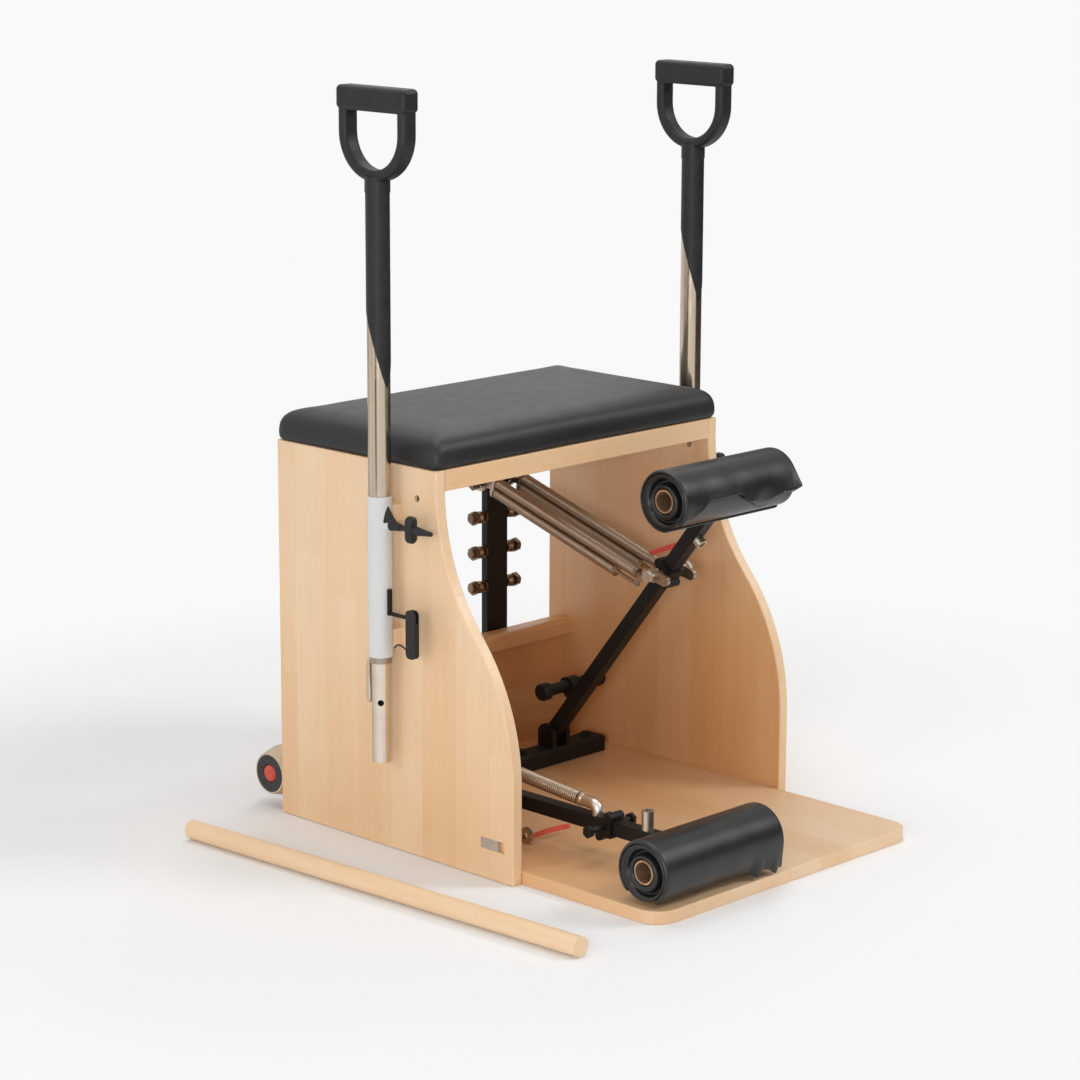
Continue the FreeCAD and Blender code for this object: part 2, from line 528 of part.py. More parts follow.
def pedal(side, sign):
    name = side + "_pedal_arm"
    length = "arm_length + arm_tail"
    outer = block(name + "_outer", "arm_size", length, "arm_size", "-arm_size / 2", "-arm_length", "-arm_size / 2")
    hollow = block(name + "_hollow", "arm_size - arm_wall * 2", f"{length} + overrun * 2", "arm_size - arm_wall * 2",
                   "-arm_size / 2 + arm_wall", "-arm_length - overrun", "-arm_size / 2 + arm_wall")
    cope = rod(name + "_cope", "tube_radius + fit_clear", "arm_size * 2", "-arm_size", "-arm_length", turn=along_x)
    bush_half = "(arm_size / 2 + ear_gap - seat_gap)"
    bush = rod(name + "_bush", "bush_radius", f"{bush_half} * 2", f"-{bush_half}", turn=along_x)
    bore = rod(name + "_bore", "pin_radius + fit_clear", "arm_size * 2", "-arm_size", turn=along_x)
    collar_place = side + "_collar_place"
    holes = [rod(name + "_cross", "spring_pin_radius + fit_clear", "arm_size * 2", "-arm_size", f"-{collar_place}",
                 turn=along_x)]
    if side == "left":
        # the parked spring's foot drops into the top wall behind the collar
        holes.append(rod(name + "_park", "parked_spigot + fit_clear", "arm_wall + overrun", 0, f"-{park_place}",
                         "arm_size / 2 - arm_wall"))
    tube = cut(name + "_tube", outer, hollow, cope)
    on_pedal(name, cut(name, fuse(name + "_body", tube, bush), bore, *holes), side, sign)

    # the roll reaches from near the middle of the chair outwards, past its arm on both sides; both stand a little left
    start = f"({sign} * (pad_inner + pad_length / 2 - arm_offset) - pad_length / 2 - pad_shift)"
    name = side + "_pedal_tube"
    shell = rod(name + "_shell", "tube_radius", "pad_length - tube_recess * 2", f"{start} + tube_recess",
                "-arm_length", turn=along_x)
    hole = rod(name + "_hole", tube_bore, "pad_length", start, "-arm_length", turn=along_x)
    on_pedal(name, cut(name, shell, hole), side, sign)

    name = side + "_pedal_pad"
    wide, radius, shoulder = read("pad_length"), read("pad_radius"), read("pad_shoulder")
    bore = read("tube_radius + fit_clear")
    tuck = shoulder - shoulder / math.sqrt(2)
    crown = radius - read("pad_floor_gap")
    roll = turned(name + "_roll", (0, bore), [(0, crown - shoulder)],
                  [(tuck, crown - tuck), (shoulder, crown)], [(wide / 2, radius), (wide - shoulder, crown)],
                  [(wide - tuck, crown - tuck), (wide, crown - shoulder)], [(wide, bore)], [(0, bore)])
    put(roll, start, "-arm_length")
    slot = block(name + "_slot", "arm_size + pad_slot_gap * 2", "pad_radius + overrun", "arm_size + pad_slot_gap * 2",
                 "-arm_size / 2 - pad_slot_gap", "-arm_length", "-arm_size / 2 - pad_slot_gap")
    on_pedal(name, cut(name, roll, slot), side, sign)

    name = side + "_spring_collar"
    body = block(name + "_body", "collar_size", "collar_length", "collar_size",
                 "-collar_size / 2", f"-{collar_place} - collar_length / 2", "-collar_size / 2")
    lobes = [rod(f"{name}_lobe_{index}", "lobe_radius", "collar_size", "-collar_size / 2",
                 f"-{collar_place} - {turn} * lobe_shift", f"{turn} * collar_size / 2", along_x)
             for index, turn in enumerate((-1, 1))]
    hole = block(name + "_hole", "arm_size + fit_clear * 2", "collar_length * 2", "arm_size + fit_clear * 2",
                 "-arm_size / 2 - fit_clear", f"-{collar_place} - collar_length", "-arm_size / 2 - fit_clear")
    cross = rod(name + "_cross", "spring_pin_radius + fit_clear", "collar_size * 2", "-collar_size",
                f"-{collar_place}", turn=along_x)
    on_pedal(name, cut(name, fuse(name + "_lobed", body, *lobes), hole, cross), side, sign)

    name = side + "_spring_pin"
    shaft = rod(name + "_shaft", "spring_pin_radius", "spring_pin_reach * 2", "-spring_pin_reach",
                f"-{collar_place}", turn=along_x)
    heads = [prism(f"{name}_head_{index}", "spring_pin_head_radius", "spring_pin_head", place, f"-{collar_place}",
                   turn=along_x)
             for index, place in enumerate(("spring_pin_reach", "-spring_pin_reach - spring_pin_head"))]
    on_pedal(name, fuse(name, shaft, *heads), side, sign)

    name = side + "_cross_bar"
    level = "arm_size / 2 + bar_radius"
    neck = rod(name + "_neck", "bar_neck", "bar_length - knob_length", "knob_length / 2 - bar_length / 2", "-bar_place",
               level, along_x)
    hub = rod(name + "_hub", "bar_radius", "arm_size", "-arm_size / 2", "-bar_place", level, along_x)
    knobs = [rounded(f"{name}_knob_{index}_eased",
                     rod(f"{name}_knob_{index}", "bar_radius", "knob_length", place, "-bar_place", level, along_x),
                     "bar_round", flat_in("X"))
             for index, place in enumerate(("-bar_length / 2", "bar_length / 2 - knob_length"))]
    saddle = block(name + "_saddle", "arm_size", "bar_radius * 2", "bar_radius", "-arm_size / 2",
                   "-bar_place - bar_radius", "arm_size / 2")
    on_pedal(name, fuse(name, neck, hub, *knobs, saddle), side, sign)

    name = side + "_arm_stud"
    stud = rod(name + "_post", "stud_radius", "stud_height", 0, "-stud_place", "arm_size / 2")
    bore = rod(name + "_bore", "stud_bore", "stud_depth + overrun", 0, "-stud_place",
               "arm_size / 2 + stud_height - stud_depth")
    under = rod(name + "_foot", "stud_radius", "stud_below", 0, "-stud_place", "-arm_size / 2 - stud_below")
    under_bore = rod(name + "_foot_bore", "stud_bore", "stud_below_depth + overrun", 0, "-stud_place",
                     "-arm_size / 2 - stud_below - overrun")
    both = doc.addObject("Part::Compound", name)
    both.Links = [cut(name + "_upper", stud, bore), cut(name + "_lower", under, under_bore)]
    on_pedal(name, both, side, sign)


def biarc(start, start_way, end, end_way):
    # two arcs that leave start along start_way and reach end along end_way, meeting halfway
    gap = end - start
    ways = start_way + end_way
    slope = gap.dot(ways)
    bend = 2 * (1 - start_way.dot(end_way))
    run = (math.sqrt(slope ** 2 + bend * gap.dot(gap)) - slope) / bend
    corners = (start + start_way * run, end - end_way * run)
    middle = (corners[0] + corners[1]) * 0.5
    edges = []
    for first, corner, last in ((start, corners[0], middle), (middle, corners[1], end)):
        chord = (first + last) * 0.5 - corner
        opening = math.asin((last - first).Length / run / 2)
        reach = run / math.cos(opening) - run * math.tan(opening)
        edges.append(Part.Arc(first, corner + chord.normalize() * reach, last).toShape())
    return edges


def coil(length, radius, wire):
    # one unbroken wire up the Z axis from its seat at zero: straight, wound in quarter turns, straight again
    straight, lead = wire * 2, wire * 2 + radius
    steps = coil_turns * 4
    climb = (length - lead * 2) / steps

    def at(step):
        turn = math.pi / 2 * (step + 1)
        way = Vector(-math.sin(turn) * radius, math.cos(turn) * radius, climb / math.pi * 2)
        return Vector(math.cos(turn) * radius, math.sin(turn) * radius, lead + climb * step), way.normalize()

    up = Vector(0, 0, 1)
    stops = [(Vector(radius, 0, straight), up)] + [at(step) for step in range(steps + 1)]
    last = math.pi / 2 * (steps + 2)
    stops.append((Vector(math.cos(last) * radius, math.sin(last) * radius, length - straight), up))
    edges = [Part.makeLine(Vector(radius, 0, 0), stops[0][0])]
    for (here, way), (there, end_way) in zip(stops, stops[1:]):
        edges += biarc(here, way, there, end_way)
    edges.append(Part.makeLine(stops[-1][0], stops[-1][0] + up * straight))
    path = Part.Wire(edges)
    section = Part.Wire([Part.Circle(Vector(radius, 0, 0), up, wire).toShape()])
    shape = path.makePipeShell([section], True, False)
    # neighbouring turns are compared on points, one turn apart give or take a quarter
    dots = [stop for stop, way in stops]
    gap = min((dots[i] - dots[j]).Length for i in range(len(dots)) for j in range(i + 3, min(i + 6, len(dots))))
    print(f"coil {length:.1f} mm: least gap between turns {gap - wire * 2:.2f} mm,"
          f" volume over section times length {shape.Volume / (math.pi * wire ** 2 * path.Length):.4f}")
    return shape


def lone_link(name):
    # the end of a single spring, from the eye at the origin up the Z axis to the plug inside the coil
    ring = rod(name + "_ring", "eye_radius", "fitting_thick", "-fitting_thick / 2", turn=along_x)
    neck = block(name + "_neck", "fitting_thick", "neck_width", "link_neck", "-fitting_thick / 2", "-neck_width / 2")
    disc = rod(name + "_disc", f"{lone_outer} + disc_lip", "disc_thick", 0, 0, "link_neck")
    plug = rod(name + "_plug", f"{lone_inner} - plug_clear", "plug_length", 0, 0, lone_seat)
    hole = rod(name + "_hole", "spring_pin_radius + eye_clear", "fitting_thick * 2", "-fitting_thick", turn=along_x)
    return cut(name, fuse(name + "_body", ring, neck, disc, plug), hole)


def twin_seats(name, seats):
    # one end of a pair of coils whose middle line is the Z axis: a cross piece, and a stem, disc and plug for each
    near = f"({seats[0]} - disc_thick - cross_height)"
    parts = [block(name + "_cross", "fitting_thick", "twin_pitch + stem_radius * 2", "cross_height",
                   "-fitting_thick / 2", "-twin_pitch / 2 - stem_radius", near)]
    for index, seat in enumerate(seats):
        y = f"{index * 2 - 1} * twin_pitch / 2"
        parts.append(rod(f"{name}_stem_{index}", "stem_radius", f"{seat} - {near}", 0, y, near))
        parts.append(rod(f"{name}_disc_{index}", f"{twin_outer} + disc_lip", "disc_thick", 0, y, f"{seat} - disc_thick"))
        parts.append(rod(f"{name}_plug_{index}", f"{twin_inner} - plug_clear", "plug_length", 0, y, seat))
    return fuse(name, *parts)


def twin_end(name, eye, holes, pair, seats):
    # the eye at the origin, its seats on the pair's line, and a flat bar between them
    ends = twin_seats(name + "_seats", seats)
    middle = pair.multVec(Vector(0, 0, read(f"{seats[0]} - disc_thick - cross_height / 2")))
    bar = block(name + "_bar", "fitting_thick", "neck_width", middle.Length, "-fitting_thick / 2", "-neck_width / 2")
    doc.recompute()
    turned_bar = bar.Shape.transformed(towards(Vector(), middle).toMatrix())
    solid = ends.Shape.transformed(pair.toMatrix()).fuse([item.Shape for item in eye] + [turned_bar])
    return shaped(name, solid.cut([item.Shape for item in holes]))


def long_eye(name, radius, thick, play):
    # a round eye at the origin drawn out along -Z by the play
    parts = [rod(f"{name}_{index}", radius, thick, f"-{thick} / 2", 0, place, along_x)
             for index, place in enumerate(("0", f"-{play}"))]
    return parts + [block(name + "_middle", thick, f"{radius} * 2", play, f"-{thick} / 2", f"-{radius}", f"-{play}")]


def towards(start, end):
    # a placement at start whose Z axis points at end, both in a plane across the X axis
    way = end - start
    return Placement(start, Rotation(Vector(1, 0, 0), -math.degrees(math.atan2(way.y, way.z))))


def along(distance, y=0):
    return Placement(Vector(0, read(y), read(distance)), Rotation())


def working_springs():
    # a pair of coils on each side of the right arm, from its spring pin up to the post's top studs
    lift = math.radians(read("pedal_lift"))
    reach, foot_y, foot_z = read("right_collar_place"), read(pivot_y), read(pivot_z)
    lows, highs = [], []
    for turn in (-1, 1):
        x = read(f"arm_offset + {turn} * spring_offset")
        low = Vector(x, foot_y - reach * math.cos(lift), foot_z + reach * math.sin(lift))
        high = Vector(x, read(post_middle), read(f"peg_level + peg_pitch * {peg_rows - 1}"))
        lows.append(towards(low, high))
        highs.append(towards(high, low))
    span = (high - low).Length
    drop, rise = read("twin_drop"), read("twin_lift")
    pair = towards(Vector(0, drop, 0), Vector(0, -rise, span))
    pair_back = towards(Vector(0, rise, 0), Vector(0, -drop, span))

    eye = [rod("link_ring", "eye_radius", "fitting_thick", "-fitting_thick / 2", turn=along_x),
           rod("link_tail", "tail_radius", "fitting_thick", "-fitting_thick / 2", 0, "-eye_tail", along_x),
           block("link_tongue", "fitting_thick", "tail_radius * 2", "eye_tail", "-fitting_thick / 2", "-tail_radius",
                 "-eye_tail")]
    hole = rod("link_hole", "spring_pin_radius + eye_clear", "fitting_thick * 2", "-fitting_thick", turn=along_x)
    link = twin_end("twin_link", eye, [hole], pair, ("upper_seat", "lower_seat"))
    eye = long_eye("hook_eye", "hook_radius", "fitting_thick", "hook_play")
    holes = long_eye("hook_hole", "hook_bore", "(fitting_thick * 2)", "hook_play")
    hook = twin_end("twin_hook", eye, holes, pair_back, ("hook_seat", "hook_seat"))
    copies("right_spring_links", (link, lows))
    copies("right_spring_hooks", (hook, highs))

    length = math.hypot(span, drop + rise)
    sets = []
    for seat, y in (("upper_seat", "-twin_pitch / 2"), ("lower_seat", "twin_pitch / 2")):
        wound = coil(length - read(f"{seat} + hook_seat + fit_clear"), read("twin_radius"), read("twin_wire"))
        sets.append((shaped("coil_at_" + seat, wound), [low.multiply(pair).multiply(along(seat, y)) for low in lows]))
    copies("right_springs", *sets)

    # the red tab starts on the far pair's upper seat and rises to the front
    tab = block("pull_tab", "tab_width", "tab_thick", "tab_length", "-tab_width / 2", "-tab_thick", "-tab_length")
    seat = along("upper_seat - disc_thick / 2", f"-twin_pitch / 2 - {twin_outer} - disc_lip - seat_gap")
    lean = Placement(Vector(), Rotation(Vector(1, 0, 0), -read("tab_tilt")))
    copies("right_pull_tab", (tab, [lows[1].multiply(pair).multiply(seat).multiply(lean)]))


def spare_springs():
    # an unhooked spring keeps its own length between two discs
    link = lone_link("lone_link")
    short = shaped("lone_coil", coil(read("lone_length"), read("lone_radius"), read("lone_wire")))
    seat = along(lone_seat)
    back = Placement(Vector(0, 0, read(f"{lone_seat} * 2 + lone_length")), Rotation(Vector(1, 0, 0), 180))

    # the parked spring lies on the left cross bar, its bent end dropped into the arm behind the collar
    rest = Vector(0, -read("bar_place"), read(f"arm_size / 2 + bar_radius * 2 + {lone_outer} + seat_gap"))
    corner = Vector(0, -read(park_place), read("arm_size / 2 + parked_rise"))
    way = (rest - corner).normalize()
    tilt = math.atan2(way.z, way.y)
    start = corner + way * read("parked_reach")
    bend = read("parked_bend") * math.tan(math.pi / 4 - tilt / 2)
    turn_in, turn_out = corner + way * bend, corner - Vector(0, 0, bend)
    centre = turn_out + Vector(0, read("parked_bend"), 0)
    knee = centre + (corner - centre).normalize() * read("parked_bend")
    foot = Vector(0, corner.y, read("arm_size / 2"))
    path = Part.Wire([Part.makeLine(start, turn_in), Part.Arc(turn_in, knee, turn_out).toShape(),
                      Part.makeLine(turn_out, foot)])
    section = Part.Wire([Part.Circle(start, way, read("parked_rod")).toShape()])
    bent = path.makePipeShell([section], True, False)
    ends = [rod("parked_disc", f"{lone_outer} + disc_lip", "disc_thick", 0, 0, "link_neck"),
            rod("parked_plug", f"{lone_inner} - plug_clear", "plug_length", 0, 0, lone_seat),
            rod("parked_foot", "parked_spigot", "parked_bite", 0, f"-{park_place}", "arm_size / 2 - parked_bite")]
    doc.recompute()
    disc, plug, spigot = [item.Shape for item in ends]
    eye = towards(start, rest).multiply(along("-link_neck"))
    hooked = bent.fuse([disc.transformed(eye.toMatrix()), plug.transformed(eye.toMatrix()), spigot])
    rear_link = link.Shape.transformed(eye.multiply(back).toMatrix())
    arm = spot("-arm_offset", pivot_y, pivot_z)
    both = shaped("parked_pattern", Part.makeCompound([hooked, rear_link]))
    copies("parked_spring_ends", (both, [arm]))
    copies("parked_spring", (short, [arm.multiply(eye).multiply(seat)]))

    # the loose spring lies on the board in front and on the left pivot block behind
    x = read("-loose_offset")
    near = Vector(x, read(f"{pivot_y} - loose_reach"), read("board_thick + eye_radius + seat_gap"))
    edge = Vector(x, read(f"{pivot_y} - block_depth / 2"), read(block_top))
    seat_way = edge - near
    rise = math.atan2(seat_way.z, seat_way.y) + math.asin(read(f"{lone_outer} + seat_gap") / seat_way.Length)
    lying = Placement(near, Rotation(Vector(1, 0, 0), math.degrees(rise) - 90))
    copies("loose_spring_ends", (link, [lying, lying.multiply(back)]))
    copies("loose_spring", (short, [lying.multiply(seat)]))
    # its tab stands on edge and lies across under the arm
    keep("loose_pull_tab", block("loose_pull_tab", "loose_tab_length", "tab_thick", "tab_width",
                                 "fitting_thick / 2 - loose_offset", f"{pivot_y} - loose_reach - eye_radius",
                                 "board_thick + seat_gap + eye_radius - tab_width / 2"))


def handle(side, sign):
    x = f"{sign} * {pole_x}"
    name = side + "_pole_rod"
    shaft = rod(name + "_shaft", "rod_radius", "sleeve_top + seat_gap + rod_plug - rod_foot", x, pole_y, "rod_foot")
    bore = rod(name + "_bore", "rod_bore", "sleeve_top - rod_foot", x, pole_y, "rod_foot - overrun")
    holes = [rod(f"{name}_hole_{index}", "rod_hole_radius", "rod_radius + overrun", x,
                 f"{pole_y} - rod_radius - overrun", f"pin_level - rod_hole_pitch * {index + 0.5}", along_y)
             for index in range(rod_hole_count)]
    stop = rod(name + "_stop_hole", "stop_hole_radius", "rod_radius + overrun", x, pole_y, "pin_level - stop_hole_drop",
               Rotation(Vector(0, 0, 1), Vector(sign, -1, 0)))
    keep(name, cut(name, shaft, bore, *holes, stop))

    # the tube's foot is solid round the rod and rests on the sleeve
    name = side + "_pole_tube"
    length = f"({pole_top} - sleeve_top - seat_gap)"
    shell = rod(name + "_shell", "pole_radius", length, x, pole_y, "sleeve_top + seat_gap")
    bore = rod(name + "_bore", "pole_radius - pole_wall", f"{length} - rod_plug + overrun", x, pole_y,
               "sleeve_top + seat_gap + rod_plug")
    seat = rod(name + "_seat", "rod_radius + fit_clear", "rod_plug + overrun * 2", x, pole_y,
               "sleeve_top + seat_gap - overrun")
    keep(name, cut(name, shell, bore, seat))

    # the grip cover's lower end is cut to a point at the front, and the right cover is the shorter one
    name = side + "_grip_sleeve"
    cover_radius = "(pole_radius + cover_thick)"
    cover_top = "(grip_base - grip_neck - cover_top_gap)"
    foot = "(cover_front + right_cover_trim)" if side == "right" else "cover_front"
    skin = rod(name + "_skin", cover_radius, f"{cover_top} - {foot}", x, pole_y, foot)
    bore = rod(name + "_bore", "pole_radius + fit_clear", f"{cover_top} - {foot} + overrun * 2", x, pole_y,
               f"{foot} - overrun")
    low, slant, edge = read(foot), read("cover_slant"), read(cover_radius)
    corner = Vector(0, edge, low + slant)
    profile = [corner, Vector(0, -edge, low), Vector(0, -edge, low - slant), Vector(0, edge, low - slant), corner]
    face = Part.Face(Part.makePolygon(profile))
    flanks = [face.extrude(Vector(way * edge, 0, read("cover_point"))) for way in (-1, 1)]
    wedge = shaped(name + "_wedge", flanks[0].fuse(flanks[1]), spot(x, pole_y))
    keep(name, cut(name, skin, bore, wedge))

    # the D lies in the side plane: a U with straight sides under a rounded bar
    name = side + "_d_grip"
    middle, under = read(grip_middle), read(grip_bar_under)
    wide, wall = read("grip_round"), read("grip_wall")
    slim = wide - wall
    over = under + read("grip_bar_ease")
    outline = ((-wide, over), [(-wide, middle)], [(0, middle - wide), (wide, middle)], [(wide, over)], [(-wide, over)])
    gap = ((-slim, under), [(-slim, middle)], [(0, middle - slim), (slim, middle)], [(slim, under)], [(-slim, under)])
    loop = eased(pad(name + "_loop", "YZ_Plane", "grip_depth", outline, gap), "grip_ease",
                 lambda edge: flat_in("X")(edge) and edge.BoundBox.ZMin < under - wall / 2)
    put(loop, f"{x} - grip_depth / 2", pole_y)
    bar = block(name + "_bar", "grip_bar_depth", "grip_bar_length", "grip_bar_height", f"{x} - grip_bar_depth / 2",
                f"{pole_y} - grip_bar_length / 2", grip_bar_under)
    bar_soft = rounded(name + "_bar_eased", bar, "grip_bar_ease", lambda edge: True)
    neck = rod(name + "_neck", "grip_neck_radius", f"grip_neck + {pole_top} - grip_base", x, pole_y, "grip_base - grip_neck")
    socket = rod(name + "_socket", "pole_radius + fit_clear", f"{pole_top} + grip_neck - grip_base + overrun", x, pole_y,
                 "grip_base - grip_neck - overrun")
    keep(name, cut(name, fuse(name + "_body", loop, bar_soft, neck), socket))

    # the pull pin: shaft from the rod's skin to an upright oval wing, then a tapered nose
    name = side + "_pull_pin"
    front = "(sleeve_radius - rod_radius - seat_gap)"
    back, out, thick = read(front), read("wing_out"), read("wing_thick")
    radius, nose, tip, length = read("pull_radius"), read("nose_radius"), read("nose_tip"), read("nose_length")
    pin = turned(name + "_turned", (-back, 0), [(-back, radius)], [(out + thick / 2, radius)],
                 [(out + thick / 2, nose)], [(out + thick, nose)],
                 [(out + thick + length, tip)], [(out + thick + length, 0)], [(-back, 0)])
    wide, tall = read("wing_width / 2"), read("wing_height / 2 - wing_width / 2")
    wing = pad(name + "_wing", "YZ_Plane", "wing_thick", (
        (-wide, -tall), [(0, -tall - wide), (wide, -tall)], [(wide, tall)],
        [(0, tall + wide), (-wide, tall)], [(-wide, -tall)]))
    put(eased(wing, "wing_ease", flat_in("X")), "wing_out")
    keep(name, put(fuse(name, pin, wing), x, f"{pole_y} - sleeve_radius", "pin_level", Rotation(Vector(0, 0, 1), -90)))

    # the clamp lever hangs from the bracket's cross pin, its fork astride the bracket's blade
    name = side + "_clamp_lever"
    lever_y = f"({pole_y} - sleeve_radius - clamp_reach)"
    plate = block(name + "_plate", "lever_width", "lever_depth", "lever_length", f"{x} - lever_width / 2",
                  f"{lever_y} - lever_depth / 2", "clamp_level + lever_head - lever_length")
    soft = rounded(name + "_eased", plate, "lever_ease", runs_along("X"))
    fork = block(name + "_fork", "lever_slot", "lever_depth * 2", "lever_slot_drop + overrun", f"{x} - lever_slot / 2",
                 f"{lever_y} - lever_depth", "clamp_level + lever_head - lever_slot_drop")
    bore = rod(name + "_bore", "clamp_pin_radius + fit_clear", "lever_width * 2", f"{x} - lever_width", lever_y,
               "clamp_level", along_x)
    keep(name, cut(name, soft, fork, bore))


def sleeves():
    bodies, saddles, clamps, clips, bushes = [], [], [], [], []
    for side, sign in sides:
        x = f"{sign} * {pole_x}"
        name = side + "_sleeve"
        front = f"({pole_y} - sleeve_radius)"
        shell = rod(name + "_shell", "sleeve_radius", "sleeve_top - sleeve_foot", x, pole_y, "sleeve_foot")
        boss = rod(name + "_boss", "boss_radius", "sleeve_radius + boss_length", x, f"{front} - boss_length", "pin_level",
                   along_y)
        bore = rod(name + "_bore", "sleeve_bore", "sleeve_top - sleeve_foot + overrun * 2", x, pole_y,
                   "sleeve_foot - overrun")
        pull = rod(name + "_pull_bore", "pull_radius + fit_clear", "sleeve_radius + boss_length", x,
                   f"{front} - boss_length", "pin_level", along_y)
        bodies.append(cut(name, fuse(name + "_body", shell, boss), bore, pull))

        name = side + "_sleeve_bush"
        upper = rod(name + "_upper", "sleeve_bore - fit_clear", "bush_length", x, pole_y, "sleeve_top - bush_length")
        lower = fuse(name + "_lower",
                     rod(name + "_spigot", "sleeve_bore - fit_clear", "bush_length", x, pole_y, "sleeve_foot"),
                     rod(name + "_collar", "collar_radius", "collar_drop", x, pole_y, "sleeve_foot - collar_drop"))
        slide = rod(name + "_slide", "rod_radius + fit_clear", "sleeve_top - sleeve_foot + collar_drop + overrun * 2",
                    x, pole_y, "sleeve_foot - collar_drop - overrun")
        pull_room = rod(name + "_pull_room", "pull_radius + seat_gap", "sleeve_radius", x, front, "pin_level", along_y)
        bushes.append(cut(name + "_top", upper, slide, pull_room))
        bushes.append(cut(name + "_foot", lower, slide))

        name = side + "_saddle"
        for index, level in enumerate(saddle_levels()):
            brick = block(f"{name}_brick_{index}", "pole_offset - sleeve_radius + saddle_wrap", "saddle_width", "saddle_height",
                          f"{sign} * ({half} + pole_offset / 2 - sleeve_radius / 2 + saddle_wrap / 2)"
                          " - pole_offset / 2 + sleeve_radius / 2 - saddle_wrap / 2",
                          f"{pole_y} - saddle_width / 2", f"{level} - saddle_height / 2")
            hug = rod(f"{name}_hug_{index}", "sleeve_radius + fit_clear", "saddle_height * 2", x, pole_y,
                      f"{level} - saddle_height")
            hole = rod(f"{name}_hole_{index}", "screw_radius + fit_clear", "screw_bite * 2",
                       f"{sign} * {half} - screw_bite", pole_y, level, along_x)
            saddles.append(cut(f"{name}_{index}", brick, hug, hole))

        # the clamp bracket: a plate on the sleeve's front, a blade and the lever's cross pin
        name = side + "_clamp_bracket"
        lever_y = f"({front} - clamp_reach)"
        plate = block(name + "_plate", "clamp_plate_width", "clamp_plate_thick * 2", "clamp_plate_height",
                      f"{x} - clamp_plate_width / 2", f"{front} - clamp_plate_thick", "clamp_level - blade_height / 2")
        arm = block(name + "_blade", "blade_thick", "clamp_reach + blade_past", "blade_height", f"{x} - blade_thick / 2",
                    f"{lever_y} - blade_past", "clamp_level - blade_height / 2")
        cross = rod(name + "_pin", "clamp_pin_radius", "lever_width", f"{x} - lever_width / 2", lever_y, "clamp_level",
                    along_x)
        hug = rod(name + "_hug", "sleeve_radius + fit_clear", "clamp_plate_height * 2", x, pole_y,
                  "clamp_level - clamp_plate_height")
        clamps.append(cut(name, fuse(name + "_body", plate, arm, cross), hug))

        # the clip: a strip down the collar's rear side, bent in towards the rod at its foot
        name = side + "_rod_clip"
        strip = block(name + "_strip", "clip_width", "clip_thick", "clip_length", f"{x} - clip_width / 2",
                      f"{pole_y} + collar_radius", "sleeve_foot - clip_length")
        toe = block(name + "_toe", "clip_width", "collar_radius - rod_radius - clip_gap + clip_thick", "clip_thick",
                    f"{x} - clip_width / 2", f"{pole_y} + rod_radius + clip_gap", "sleeve_foot - clip_length")
        clips.append(fuse(name, strip, toe))
    group("handle_sleeves", *bodies)
    group("sleeve_bushes", *bushes)
    group("sleeve_brackets", *saddles)
    group("clamp_brackets", *clamps)
    group("rod_clips", *clips)


def frame_screws():
    # screws point along +X from the underside of their heads
    saddle_screw = fuse("saddle_screw",
                        rod("saddle_screw_head", "screw_head_radius", "screw_head", turn=along_x),
                        rod("saddle_screw_shank", "screw_radius", "panel_thick + screw_bite", turn=along_x))
    web_screw = fuse("web_screw",
                     rod("web_screw_head", "screw_head_radius", "screw_head", "-screw_head", turn=along_x),
                     rod("web_screw_shank", "screw_radius", "web_thick + screw_bite", turn=along_x))
    flip = Rotation(Vector(0, 0, 1), 180)
    copies("frame_screws",
           (saddle_screw, [spot(f"{sign} * {inner}", pole_y, level, along_z if sign > 0 else flip)
                           for side, sign in sides for level in saddle_levels()]),
           (web_screw, [spot(f"{sign} * ({wheel_inside} - web_gap - flange_length / 2)", f"{rear_back} + web_thick",
                             web_screw_level(share), Rotation(Vector(0, 0, 1), -90))
                        for side, sign in sides for share in screw_shares]))


